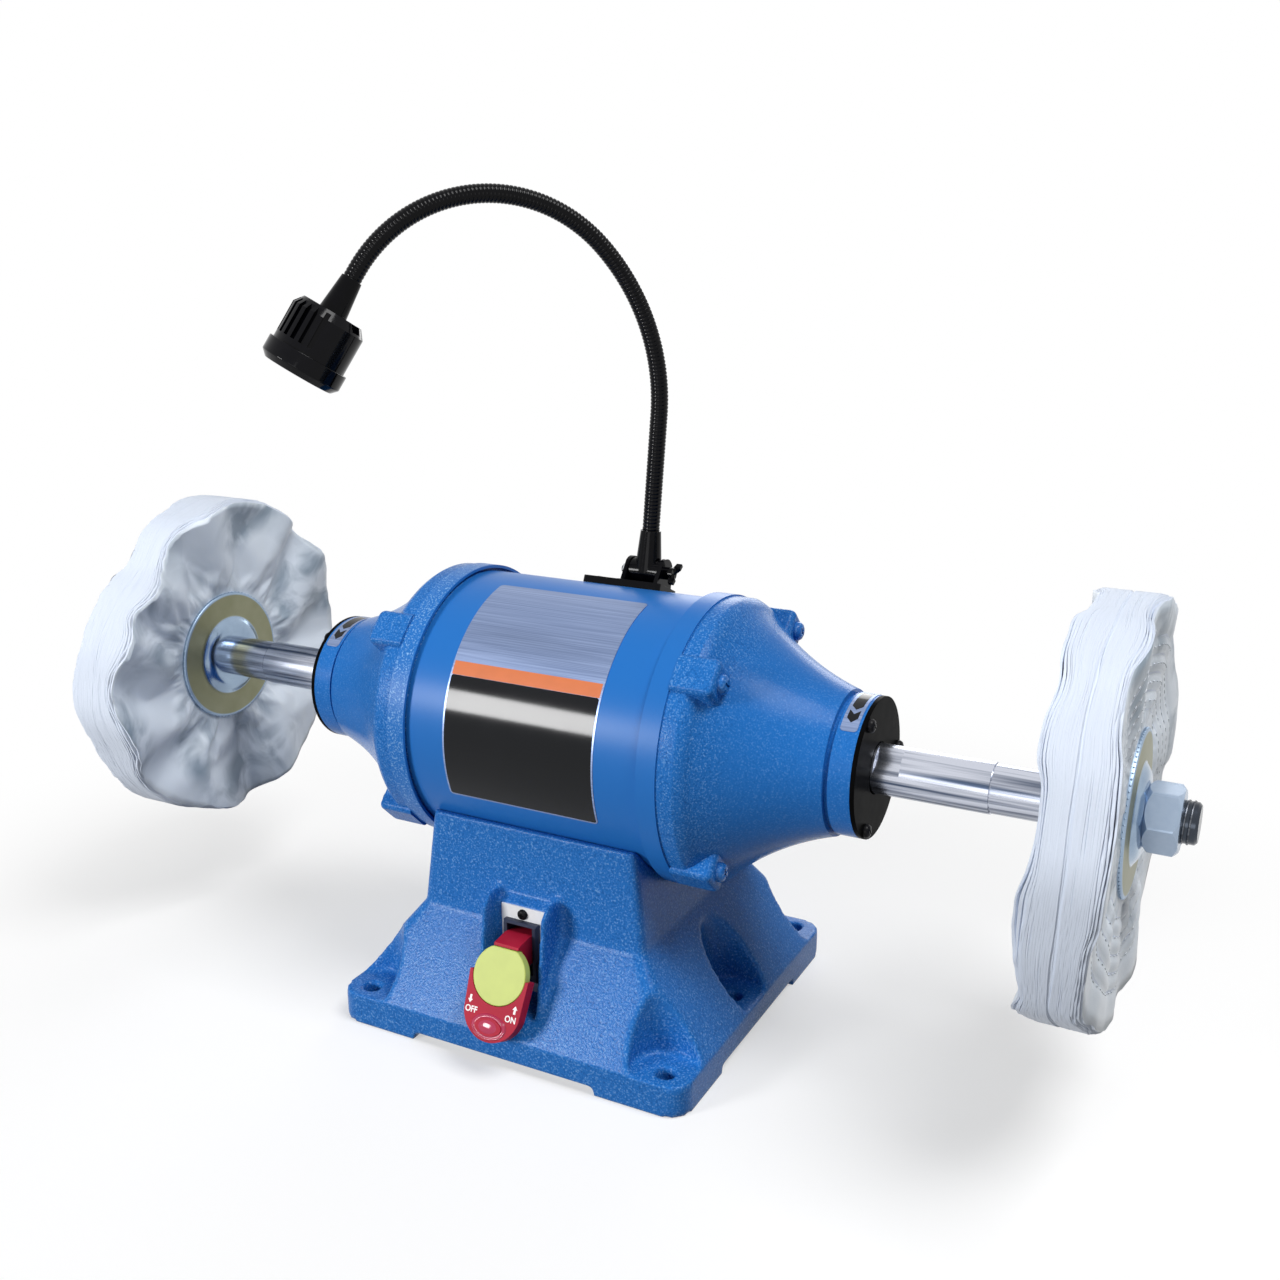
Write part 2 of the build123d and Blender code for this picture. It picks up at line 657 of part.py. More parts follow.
def motor_tube():
    """Tube with a raised flange at each end, undercut where it meets the plain part."""
    flange_start = BELL_JOINT - TUBE_FLANGE_WIDTH
    lip_r = TUBE_R + UNDERCUT_HEIGHT
    half = [
        (0, TUBE_R),
        (flange_start + UNDERCUT_DEPTH, TUBE_R),
        (flange_start + UNDERCUT_DEPTH, lip_r),
        (flange_start, lip_r),
        (flange_start, TUBE_FLANGE_R),
        (BELL_JOINT, TUBE_FLANGE_R),
        (BELL_JOINT, TUBE_BORE_R),
    ]
    tube = turned(half + [(-x, radius) for x, radius in reversed(half[1:])])
    for side in SIDES.values():
        for angle in lug_angles():
            start = side * BELL_JOINT
            low, high = sorted((start, start - side * (BELL_SCREW_REACH + SEAT_GAP)))
            tube -= around(rod_x(BELL_SCREW_R + SEAT_GAP, low, high, LUG_CIRCLE_R, 0), angle)
    for x, y in saddle_screw_places():
        tube_bottom = SHAFT_HEIGHT - math.sqrt(TUBE_R ** 2 - y ** 2)
        tube -= column(SADDLE_SCREW_R + SEAT_GAP, 0, tube_bottom + SADDLE_SCREW_BITE + SEAT_GAP, x, y)
    depth = BRACKET_SCREW_BITE + SEAT_GAP
    for screw_x in bracket_screw_places():
        tube -= bracket_rod(BRACKET_SCREW_R + SEAT_GAP, screw_x, -depth, PIVOT_HEIGHT)
    return tube


def stator_core():
    return ring(STATOR_BORE_R, TUBE_BORE_R - SEAT_GAP, -CORE_LENGTH / 2, CORE_LENGTH / 2)


def stator_windings():
    """Rounded bundle of end turns on each face of the core."""
    bundles = []
    start = CORE_LENGTH / 2
    end = start + WINDING_LENGTH
    for side in SIDES.values():
        outline = [
            (start, WINDING_INNER_R),
            (end - WINDING_ROUND, WINDING_INNER_R),
            (end, WINDING_INNER_R + WINDING_ROUND),
            (end, WINDING_OUTER_R - WINDING_ROUND),
            (end - WINDING_ROUND, WINDING_OUTER_R),
            (start, WINDING_OUTER_R),
        ]
        bundles.append(on_side(turned(outline), side))
    return bundles


def bearing_seat(side):
    """Where the bearing's outer race stops: on the right on the bell, on the left on a spring washer."""
    return BEARING_INNER if side > 0 else BEARING_INNER - SPRING_WASHER


def bell_outline(seat):
    """Trumpet from the rim to the collar, and the hollow and bearing seat inside it."""
    rim_end = BELL_JOINT + BELL_RIM_WIDTH
    shoulder = (rim_end + BELL_SHOULDER, TUBE_R - BELL_SHOULDER_DROP)
    bulge = (rim_end + BELL_BULGE_X, TUBE_R - BELL_BULGE_DROP)
    waist = (BELL_JOINT + BELL_WAIST_X, TUBE_R - BELL_WAIST_DROP)
    mouth = (BELL_JOINT + BELL_NECK_X, BELL_MOUTH_R)
    groove_end = mouth[0] + GROOVE_WIDTH
    bearing_r = BEARING_OD / 2 + SEAT_GAP
    hub_r = BEARING_OD / 2 - BEARING_RING
    hub_start = seat - BELL_WALL
    spigot_r = TUBE_BORE_R - SEAT_GAP
    inner_rim_r = spigot_r - BELL_WALL
    lines = [
        Line((BELL_JOINT, BELL_RIM_R), (rim_end, BELL_RIM_R)),
        ThreePointArc((rim_end, BELL_RIM_R), bulge, shoulder),
        ThreePointArc(shoulder, waist, mouth),
        Polyline(
            mouth,
            (mouth[0], COLLAR_R - GROOVE_DEPTH),
            (groove_end, COLLAR_R - GROOVE_DEPTH),
            (groove_end, COLLAR_R),
            (COLLAR_END, COLLAR_R),
            (COLLAR_END, bearing_r),
            (seat, bearing_r),
            (seat, hub_r),
            (hub_start, hub_r),
            (hub_start, START_BOARD_R),
            (BELL_JOINT, inner_rim_r),
            (BELL_JOINT - BELL_SPIGOT, inner_rim_r),
            (BELL_JOINT - BELL_SPIGOT, spigot_r),
            (BELL_JOINT, spigot_r),
            (BELL_JOINT, BELL_RIM_R),
        ),
    ]
    return make_face(Curve() + lines)


def bell_lug():
    """Screw lug at +Y of the axis, its outer edges and far corners rounded."""
    top = BELL_RIM_R + LUG_RISE
    half = LUG_WIDTH / 2
    lug = block((BELL_JOINT, top - LUG_DEPTH, -half), (BELL_JOINT + LUG_LENGTH, top, half))
    lug = fillet(lug.edges().filter_by(Axis.Y).group_by(Axis.X)[-1], LUG_CORNER_R)
    return fillet(lug.edges().filter_by(Axis.X).group_by(Axis.Y)[-1], LUG_EDGE_R)


def end_bell(side):
    bell = revolve(bell_outline(bearing_seat(side)), Axis.X)
    lug = bell_lug()
    shank = rod_x(BELL_SCREW_R + SEAT_GAP, BELL_JOINT, BELL_JOINT + LUG_LENGTH, LUG_CIRCLE_R, 0)
    for angle in lug_angles():
        bell += Rot(angle, 0, 0) * lug
    for angle in lug_angles():
        bell -= Rot(angle, 0, 0) * shank
    screw_end = COLLAR_END - CAP_SCREW_LENGTH - SEAT_GAP
    hole = rod_x(CAP_SCREW_R + SEAT_GAP, screw_end, COLLAR_END, CAP_SCREW_CIRCLE_R, 0)
    for angle in cap_screw_angles():
        bell -= Rot(angle, 0, 0) * hole
    return on_side(raised(bell), side)


def end_bell_screws():
    screw = pan_screw(BELL_SCREW_R, LUG_LENGTH + BELL_SCREW_REACH, BELL_SCREW_HEAD_R, BELL_SCREW_HEAD)
    seated = Pos(BELL_JOINT + LUG_LENGTH, LUG_CIRCLE_R, 0) * (Rot(0, 90, 0) * screw)
    return [on_side(around(seated, angle), side) for side in SIDES.values() for angle in lug_angles()]


def bearing_outer_ring(side):
    """Outer race with its two shields."""
    outer_r = BEARING_OD / 2
    race_r = outer_r - BEARING_RING
    shield_r = BEARING_BORE / 2 + BEARING_RING + SHIELD_GAP
    low = BEARING_INNER + SHIELD_INSET
    high = BEARING_OUTER - SHIELD_INSET
    outline = [
        (BEARING_INNER, race_r),
        (low, race_r),
        (low, shield_r),
        (low + SHIELD_THICKNESS, shield_r),
        (low + SHIELD_THICKNESS, race_r),
        (high - SHIELD_THICKNESS, race_r),
        (high - SHIELD_THICKNESS, shield_r),
        (high, shield_r),
        (high, race_r),
        (BEARING_OUTER, race_r),
        (BEARING_OUTER, outer_r),
        (BEARING_INNER, outer_r),
    ]
    return on_side(turned(outline), side)


def bearing_inner_ring(side):
    bore_r = BEARING_BORE / 2 + SEAT_GAP
    return on_side(ring(bore_r, BEARING_BORE / 2 + BEARING_RING, BEARING_INNER, BEARING_OUTER), side)


def preload_washer():
    """Spring washer between the left bell's seat and the bearing's outer race."""
    side = SIDES["left"]
    outer_r = BEARING_OD / 2 - SEAT_GAP
    return on_side(ring(outer_r - BEARING_RING, outer_r, bearing_seat(side), BEARING_INNER), side)


def cap_screw_angles():
    return [CAP_SCREW_ANGLE + i * 360 / CAP_SCREW_COUNT for i in range(CAP_SCREW_COUNT)]


def bearing_cap(side):
    """Black disc over the bearing, with a spigot that holds the outer race."""
    spigot_r = BEARING_OD / 2 - SEAT_GAP
    hole_r = SHAFT_R + CAP_RUNNING_GAP
    outline = [
        (BEARING_OUTER, spigot_r - CAP_SPIGOT_WALL),
        (COLLAR_END, spigot_r - CAP_SPIGOT_WALL),
        (COLLAR_END, hole_r),
        (CAP_FACE, hole_r),
        (CAP_FACE, COLLAR_R),
        (COLLAR_END, COLLAR_R),
        (COLLAR_END, spigot_r),
        (BEARING_OUTER, spigot_r),
    ]
    cap = revolve(make_face(Polyline(*outline, close=True)), Axis.X)
    hole = rod_x(CAP_SCREW_R + SEAT_GAP, COLLAR_END, CAP_FACE, CAP_SCREW_CIRCLE_R, 0)
    for angle in cap_screw_angles():
        cap -= Rot(angle, 0, 0) * hole
    return on_side(raised(cap), side)


def bearing_cap_screws():
    screw = pan_screw(CAP_SCREW_R, CAP_SCREW_LENGTH + CAP_THICKNESS, CAP_SCREW_HEAD_R, CAP_SCREW_HEAD)
    seated = Pos(CAP_FACE, CAP_SCREW_CIRCLE_R, 0) * (Rot(0, 90, 0) * screw)
    return [on_side(around(seated, angle), side) for side in SIDES.values() for angle in cap_screw_angles()]


def start_switch():
    """Contact board on the inner face of the left bell's hub."""
    side = SIDES["left"]
    hub_start = bearing_seat(side) - BELL_WALL
    inner_r = BEARING_OD / 2 - BEARING_RING
    return on_side(ring(inner_r, START_BOARD_R, hub_start - START_BOARD_THICKNESS, hub_start), side)


# Spindle
def half_spindle():
    """One half of the turned spindle, from the middle to the +X end."""
    line_x = SHOULDER - STUB_LENGTH
    outline = [
        (0, 0),
        (0, CORE_SHAFT_R),
        (BEARING_INNER, CORE_SHAFT_R),
        (BEARING_INNER, BEARING_BORE / 2),
        (BEARING_OUTER, BEARING_BORE / 2),
        (BEARING_OUTER, SHAFT_R),
        (line_x, SHAFT_R),
        (line_x, STUB_R - LINE_DEPTH),
        (line_x + LINE_WIDTH, STUB_R - LINE_DEPTH),
        (line_x + LINE_WIDTH, STUB_R),
        (SHOULDER, STUB_R),
        (SHOULDER, ARBOR_R),
        (SHAFT_END - SPINDLE_CHAMFER, ARBOR_R),
        (SHAFT_END, ARBOR_R - SPINDLE_CHAMFER),
        (SHAFT_END, 0),
    ]
    shaft = revolve(make_face(Polyline(*outline, close=True)), Axis.X)
    flat_start = CAP_FACE + FLAT_START
    flat_end = flat_start + FLAT_WIDTH
    cut = block((flat_start, FLAT_DISTANCE, -SHAFT_R), (flat_end, SHAFT_R + OVERCUT, SHAFT_R))
    for turn in (FLAT_ANGLE, FLAT_ANGLE + 180):
        shaft -= Rot(180 - turn, 0, 0) * cut
    return shaft


def spindle():
    half = half_spindle()
    return raised(half + mirror(half, about=Plane.YZ))


def rotor_core():
    length = CORE_LENGTH / 2 + ROTOR_OVERHANG
    return ring(CORE_SHAFT_R + SEAT_GAP, STATOR_BORE_R - AIR_GAP, -length, length)


def rotor_end_rings():
    start = CORE_LENGTH / 2 + ROTOR_OVERHANG
    outer_r = STATOR_BORE_R - AIR_GAP - END_RING_INSET
    shape = ring(outer_r - END_RING_DEPTH, outer_r, start, start + END_RING_WIDTH)
    return [on_side(shape, side) for side in SIDES.values()]


def centrifugal_actuator():
    """Governor on the left end of the rotor shaft, facing the start switch."""
    start = BELL_JOINT + ACTUATOR_DISTANCE
    shape = ring(CORE_SHAFT_R + SEAT_GAP, ACTUATOR_R, start, start + ACTUATOR_WIDTH)
    return on_side(shape, SIDES["left"])


def wheel_flange(side, outer):
    """Dished washer: a flat rim on the cloth, a dome up to the hub."""
    rise = FLANGE_RISE - FLANGE_THICKNESS
    outline = [
        (0, FLANGE_R),
        (0, FLANGE_DOME_R),
        (rise, FLANGE_HUB_R),
        (rise, ARBOR_R + SEAT_GAP),
        (FLANGE_RISE, ARBOR_R + SEAT_GAP),
        (FLANGE_RISE, FLANGE_HUB_R),
        (FLANGE_THICKNESS, FLANGE_DOME_R),
        (FLANGE_THICKNESS, FLANGE_R),
    ]
    washer = turned(outline)
    if outer:
        placed = Pos(OUTER_PLANE, 0, 0) * washer
    else:
        placed = Pos(INNER_PLANE, 0, 0) * mirror(washer, about=Plane.YZ)
    return on_side(placed, side)


def buff_pack(side, outer):
    """Cotton pack: clamped thin at the flange, fuller at the rim, flat where it meets its partner."""
    lines = [
        Polyline((0, ARBOR_R + SEAT_GAP), (PACK_THICKNESS, ARBOR_R + SEAT_GAP), (PACK_THICKNESS, FLANGE_R)),
        ThreePointArc(
            (PACK_THICKNESS, FLANGE_R),
            (PACK_THICKNESS + PACK_SWELL, (FLANGE_R + WHEEL_R) / 2),
            (PACK_RIM, WHEEL_R - PACK_ROUND),
        ),
        ThreePointArc(
            (PACK_RIM, WHEEL_R - PACK_ROUND),
            (PACK_RIM / 2, WHEEL_R),
            (0, WHEEL_R - PACK_ROUND),
        ),
        Line((0, WHEEL_R - PACK_ROUND), (0, ARBOR_R + SEAT_GAP)),
    ]
    pack = raised(revolve(make_face(Curve() + lines), Axis.X))
    middle = INNER_PLANE + PACK_THICKNESS
    if not outer:
        pack = mirror(pack, about=Plane.YZ)
    return on_side(Pos(middle, 0, 0) * pack, side)


def spindle_nut(side):
    prism = hexagon_x(NUT_ACROSS_FLATS, NUT_FACE, NUT_FACE + NUT_THICKNESS, 0, 0)
    corner_r = NUT_ACROSS_FLATS / math.sqrt(3)
    flat_r = NUT_ACROSS_FLATS / 2
    rounded = [
        (NUT_FACE, ARBOR_R + SEAT_GAP),
        (NUT_FACE, flat_r),
        (NUT_FACE + NUT_CHAMFER, corner_r),
        (NUT_FACE + NUT_THICKNESS - NUT_CHAMFER, corner_r),
        (NUT_FACE + NUT_THICKNESS, flat_r),
        (NUT_FACE + NUT_THICKNESS, ARBOR_R + SEAT_GAP),
    ]
    nut = prism & revolve(make_face(Polyline(*rounded, close=True)), Axis.X)
    return on_side(raised(nut), side)


# Switch
def plate_screw_heights():
    reach = SWITCH_PLATE_HEIGHT / 2 - PLATE_SCREW_EDGE
    return (SWITCH_Z + reach, SWITCH_Z - reach)


def plate_screw_hole(end, z):
    start = Plane(origin=(0, -BASE_DEPTH, z), x_dir=(1, 0, 0), z_dir=(0, 1, 0))
    return extrude(start * Circle(PLATE_SCREW_R + SEAT_GAP), amount=end + BASE_DEPTH)


def switch_plate():
    half = SWITCH_PLATE_WIDTH / 2
    rise = SWITCH_PLATE_HEIGHT / 2
    front = PANEL_Y - SWITCH_PLATE_THICKNESS
    plate = block((-half, front, SWITCH_Z - rise), (half, PANEL_Y, SWITCH_Z + rise))
    window = BODY_WIDTH / 2 + BODY_CLEARANCE
    window_rise = BODY_HEIGHT / 2 + BODY_CLEARANCE
    plate -= block((-window, front, SWITCH_Z - window_rise), (window, PANEL_Y, SWITCH_Z + window_rise))
    for z in plate_screw_heights():
        plate -= plate_screw_hole(PANEL_Y, z)
    return plate


def switch_plate_screws():
    screw = pan_screw(PLATE_SCREW_R, PLATE_SCREW_LENGTH, PLATE_SCREW_HEAD_R, PLATE_SCREW_HEAD)
    front = PANEL_Y - SWITCH_PLATE_THICKNESS
    return [Pos(0, front, z) * (Rot(90, 0, 0) * screw) for z in plate_screw_heights()]


def switch_body():
    """Case behind the plate and bezel in front of it, with the pocket that the paddle turns in."""
    plate_front = PANEL_Y - SWITCH_PLATE_THICKNESS
    front = plate_front - BEZEL_DEPTH
    half = BEZEL_WIDTH / 2
    rise = BEZEL_HEIGHT / 2
    bezel = block((-half, front, SWITCH_Z - rise), (half, plate_front, SWITCH_Z + rise))
    bezel = chamfer(bezel.faces().sort_by(Axis.Y)[0].edges(), BEZEL_CHAMFER)
    body_half = BODY_WIDTH / 2
    body_rise = BODY_HEIGHT / 2
    body = block(
        (-body_half, plate_front, SWITCH_Z - body_rise),
        (body_half, plate_front + BODY_DEPTH, SWITCH_Z + body_rise),
    )
    pocket = block((-POCKET_HALF, front, POCKET_FLOOR), (POCKET_HALF, front + POCKET_DEPTH, POCKET_TOP))
    pin_hole = rod_x(SWITCH_PIN_R + SEAT_GAP, -body_half, body_half, SWITCH_PIVOT_Y, SWITCH_PIVOT_Z)
    return bezel + body - pocket - pin_hole


def switch_pivot_pin():
    half = BODY_WIDTH / 2 - SEAT_GAP
    return rod_x(SWITCH_PIN_R, -half, half, SWITCH_PIVOT_Y, SWITCH_PIVOT_Z)


PADDLE_UP = (math.sin(math.radians(PADDLE_TILT)), math.cos(math.radians(PADDLE_TILT)))
PADDLE_OUT = (-PADDLE_UP[1], PADDLE_UP[0])


def paddle_face(out):
    """Plane parallel to the paddle's face, this far in front of it, at the key's centre."""
    origin = (0, KEY_CENTRE_Y + out * PADDLE_OUT[0], KEY_CENTRE_Z + out * PADDLE_OUT[1])
    return Plane(origin=origin, x_dir=(1, 0, 0), z_dir=(0, *PADDLE_OUT))


def paddle_point(up, out):
    """Y and Z of a point given along the paddle's face and out from it."""
    y = KEY_CENTRE_Y + up * PADDLE_UP[0] + out * PADDLE_OUT[0]
    z = KEY_CENTRE_Z + up * PADDLE_UP[1] + out * PADDLE_OUT[1]
    return y, z


def paddle_box(half, bottom, top, back, front):
    """Box on the paddle's own axes."""
    sketch = paddle_face(back) * (Pos(0, (bottom + top) / 2) * Rectangle(2 * half, top - bottom))
    return extrude(sketch, amount=front - back)


def switch_paddle():
    left = (-PADDLE_WAIST, -PADDLE_WAIST_DROP)
    right = (PADDLE_WAIST, -PADDLE_WAIST_DROP)
    outline = [
        Polyline(left, (-PADDLE_HALF, 0), (PADDLE_HALF, 0), right),
        ThreePointArc(right, (0, -PADDLE_DROP), left),
    ]
    cup = extrude(paddle_face(-PADDLE_THICKNESS) * make_face(Curve() + outline), amount=PADDLE_THICKNESS)
    thumb = paddle_face(-PADDLE_THICKNESS / 2) * (Pos(0, -THUMB_DROP) * Ellipse(THUMB_HALF, THUMB_HEIGHT))
    cup += extrude(thumb, amount=PADDLE_THICKNESS / 2 + THUMB_RISE, taper=THUMB_TAPER)
    key_back = KEY_THICKNESS + KEY_CLEARANCE
    slot_top = KEY_TOP + KEY_CLEARANCE
    neck = [
        paddle_point(slot_top + NECK_LIP, -NECK_FRONT),
        paddle_point(slot_top, -NECK_FRONT),
        paddle_point(slot_top, -key_back),
        paddle_point(0, -key_back),
        paddle_point(0, -PADDLE_THICKNESS),
        (SWITCH_PIVOT_Y + NECK_HEEL, SWITCH_PIVOT_Z - NECK_HEEL_HALF),
        (SWITCH_PIVOT_Y + NECK_HEEL, SWITCH_PIVOT_Z + NECK_HEEL_HALF),
        (SWITCH_PIVOT_Y - NECK_TOP_RUN, SWITCH_PIVOT_Z + NECK_TOP_RISE),
    ]
    paddle = cup + slab_x(neck, -NECK_HALF, NECK_HALF)
    reach = PADDLE_THICKNESS + THUMB_RISE
    recess = extrude(paddle_face(-key_back) * Circle(KEY_R + KEY_CLEARANCE), amount=reach)
    paddle -= recess & paddle_box(PADDLE_HALF, -PADDLE_DROP, slot_top, -key_back, reach)
    slot_half = TONGUE_HALF + KEY_CLEARANCE
    slot_low = TONGUE_BOTTOM - KEY_CLEARANCE
    slot_high = TONGUE_BOTTOM + TONGUE_HEIGHT + KEY_CLEARANCE
    paddle -= paddle_box(slot_half, slot_low, slot_high, -key_back - TONGUE_LENGTH, 0)
    pin = SWITCH_PIN_R + RUNNING_GAP
    return paddle - rod_x(pin, -NECK_HALF, NECK_HALF, SWITCH_PIVOT_Y, SWITCH_PIVOT_Z)


def lockout_key():
    disc = extrude(paddle_face(-KEY_THICKNESS) * Circle(KEY_R), amount=KEY_THICKNESS)
    disc &= paddle_box(KEY_R, -KEY_R, KEY_TOP, -KEY_THICKNESS, KEY_THICKNESS)
    top = TONGUE_BOTTOM + TONGUE_HEIGHT
    tip = -KEY_THICKNESS - TONGUE_LENGTH
    return disc + paddle_box(TONGUE_HALF, TONGUE_BOTTOM, top, tip, -KEY_THICKNESS)


# Lamp bracket and knuckle
BRACKET_OUT = (math.cos(math.radians(BRACKET_ANGLE)), math.sin(math.radians(BRACKET_ANGLE)))
SEAT_Y = TUBE_R * BRACKET_OUT[0]
SEAT_Z = SHAFT_HEIGHT + TUBE_R * BRACKET_OUT[1]
PIVOT_Y = SEAT_Y + PIVOT_HEIGHT * BRACKET_OUT[0]
PIVOT_Z = SEAT_Z + PIVOT_HEIGHT * BRACKET_OUT[1]


def bracket_seat(x, out):
    """Plane square to the tube's surface under the bracket."""
    origin = (x, SEAT_Y + out * BRACKET_OUT[0], SEAT_Z + out * BRACKET_OUT[1])
    return Plane(origin=origin, x_dir=(1, 0, 0), z_dir=(0, *BRACKET_OUT))


def bracket_rod(radius, x, low, high):
    """Cylinder square to the tube's surface under the bracket."""
    return extrude(bracket_seat(x, low) * Circle(radius), amount=high - low)


def bracket_middle():
    return YOKE_X + BRACKET_END - BRACKET_LENGTH / 2


def bracket_screw_places():
    """Both screws stand clear of the ears, on the long end of the plate."""
    ear = YOKE_X - EAR_GAP / 2 - EAR_THICKNESS
    end = bracket_middle() - BRACKET_LENGTH / 2
    centre = (ear + end) / 2
    return (centre - BRACKET_SCREW_SPREAD / 2, centre + BRACKET_SCREW_SPREAD / 2)


def lamp_bracket():
    outline = RectangleRounded(BRACKET_LENGTH, BRACKET_WIDTH, EAR_THICKNESS)
    underside = bracket_seat(bracket_middle(), -BRACKET_SINK)
    bracket = extrude(underside * outline, amount=BRACKET_THICKNESS + BRACKET_SINK)
    ear_low = YOKE_X - EAR_GAP / 2 - EAR_THICKNESS
    ear_high = YOKE_X + EAR_GAP / 2
    seat = Plane(origin=(0, SEAT_Y, SEAT_Z), x_dir=(0, BRACKET_OUT[1], -BRACKET_OUT[0]), z_dir=(1, 0, 0))
    edge = math.sqrt(EAR_R ** 2 - (EAR_R / 2) ** 2)
    front = (edge, PIVOT_HEIGHT + EAR_R / 2)
    back = (-edge, PIVOT_HEIGHT + EAR_R / 2)
    sides = [
        Polyline(front, (EAR_FOOT / 2, 0), (-EAR_FOOT / 2, 0), back),
        ThreePointArc(back, (0, PIVOT_HEIGHT + EAR_R), front),
    ]
    ear = make_face(Curve() + sides)
    for low in (ear_low, ear_high):
        bracket += extrude(seat.offset(low) * ear, amount=EAR_THICKNESS)
    bracket -= motor_cylinder(TUBE_R + SEAT_GAP)
    bracket -= rod_x(WING_SCREW_R + RUNNING_GAP, ear_low, ear_high + EAR_THICKNESS, PIVOT_Y, PIVOT_Z)
    for x in bracket_screw_places():
        bracket -= bracket_rod(BRACKET_SCREW_R + SEAT_GAP, x, -BRACKET_SINK, BRACKET_THICKNESS)
    return bracket


def bracket_screws():
    length = BRACKET_THICKNESS + BRACKET_SCREW_BITE
    screw = pan_screw(BRACKET_SCREW_R, length, BRACKET_SCREW_HEAD_R, BRACKET_SCREW_HEAD)
    return [bracket_seat(x, BRACKET_THICKNESS) * screw for x in bracket_screw_places()]


def wing_screw():
    """Screw through both ears and the knuckle, with two wings on its head."""
    head = YOKE_X + EAR_GAP / 2 + EAR_THICKNESS
    tail = YOKE_X - EAR_GAP / 2 - EAR_THICKNESS - PIVOT_NUT_THICKNESS - PIVOT_SCREW_TAIL
    hub_end = head + WING_HUB_LENGTH
    screw = rod_x(WING_SCREW_R, tail, head, 0, 0) + rod_x(WING_HUB_R, head, hub_end, 0, 0)
    wing = [
        (head + WING_ROOT, 0),
        (head + WING_LENGTH - WING_TIP, WING_SPAN),
        (head + WING_LENGTH, WING_SPAN),
        (head + WING_LENGTH, WING_SPAN - WING_TIP),
        (hub_end, 0),
    ]
    blade = extrude(make_face(Polyline(*wing, close=True)), amount=WING_THICKNESS / 2, both=True)
    for turn in (WING_ANGLE, WING_ANGLE + 180):
        screw += Rot(turn, 0, 0) * blade
    return Pos(0, PIVOT_Y, PIVOT_Z) * screw


def pivot_nut():
    """Hex nut on the far end of the wing screw, held against the left ear."""
    ear = YOKE_X - EAR_GAP / 2 - EAR_THICKNESS
    face = ear - PIVOT_NUT_THICKNESS
    prism = hexagon_x(PIVOT_NUT_FLATS, face, ear, PIVOT_Y, PIVOT_Z)
    return prism - rod_x(WING_SCREW_R + RUNNING_GAP, face, ear, PIVOT_Y, PIVOT_Z)


# Gooseneck route: stations in its own upright plane
NECK_AWAY = (math.cos(math.radians(NECK_HEADING)), math.sin(math.radians(NECK_HEADING)))
NECK_SIDE = (-NECK_AWAY[1], NECK_AWAY[0], 0)
NECK_ARC_R = (NECK_FIRST_ARC_R, NECK_SECOND_ARC_R)
NECK_ARC_TURN = (NECK_FIRST_TURN, NECK_SECOND_TURN)


def neck_place(away, height):
    """Point of the gooseneck's plane, measured from the knuckle's pivot."""
    return (YOKE_X + away * NECK_AWAY[0], PIVOT_Y + away * NECK_AWAY[1], PIVOT_Z + height)


def neck_station(distance):
    """Away, height and heading (degrees above level), at a distance from the socket's floor."""
    heading = math.radians(90 + NECK_LEAN)
    away = SOCKET_FLOOR * math.cos(heading)
    height = SOCKET_FLOOR * math.sin(heading)
    run = min(distance, NECK_STRAIGHT)
    away += run * math.cos(heading)
    height += run * math.sin(heading)
    distance -= run
    for radius, turn in zip(NECK_ARC_R, NECK_ARC_TURN):
        swing = min(distance / radius, math.radians(turn))
        away += radius * (math.sin(heading) - math.sin(heading - swing))
        height += radius * (math.cos(heading - swing) - math.cos(heading))
        heading -= swing
        distance -= swing * radius
    away += distance * math.cos(heading)
    height += distance * math.sin(heading)
    return away, height, math.degrees(heading)


NECK_ARCS = [radius * math.radians(turn) for radius, turn in zip(NECK_ARC_R, NECK_ARC_TURN)]
NECK_RIBBED = NECK_STRAIGHT + sum(NECK_ARCS) + NECK_RUN_OUT
NECK_LENGTH = NECK_RIBBED + NECK_TAIL


def neck_plane(distance):
    """Section plane across the gooseneck, with the same X axis all the way."""
    away, height, heading = neck_station(distance)
    along = (
        math.cos(math.radians(heading)) * NECK_AWAY[0],
        math.cos(math.radians(heading)) * NECK_AWAY[1],
        math.sin(math.radians(heading)),
    )
    return Plane(origin=neck_place(away, height), x_dir=NECK_SIDE, z_dir=along)


def neck_rod(radius, start, end):
    """Straight cylinder along one end of the gooseneck."""
    return extrude(neck_plane(start) * Circle(radius), amount=end - start)


def neck_cone(start, end, start_r, end_r):
    """Cone along one straight end of the gooseneck."""
    tip = neck_plane(start).offset(end - start)
    return loft([neck_plane(start) * Circle(start_r), tip * Circle(end_r)], ruled=True)


def lamp_knuckle():
    """Barrel between the ears and the cone that holds the lower end of the gooseneck."""
    half = EAR_GAP / 2 - KNUCKLE_CLEARANCE
    barrel = rod_x(KNUCKLE_R, YOKE_X - half, YOKE_X + half, PIVOT_Y, PIVOT_Z)
    cone = neck_cone(-SOCKET_FLOOR, SOCKET_LENGTH - SOCKET_FLOOR, SOCKET_BASE_R, SOCKET_TOP_R)
    knuckle = barrel + cone
    knuckle -= neck_rod(NECK_CREST_R + NECK_FIT, 0, SOCKET_LENGTH)
    return knuckle - rod_x(WING_SCREW_R + RUNNING_GAP, YOKE_X - half, YOKE_X + half, PIVOT_Y, PIVOT_Z)


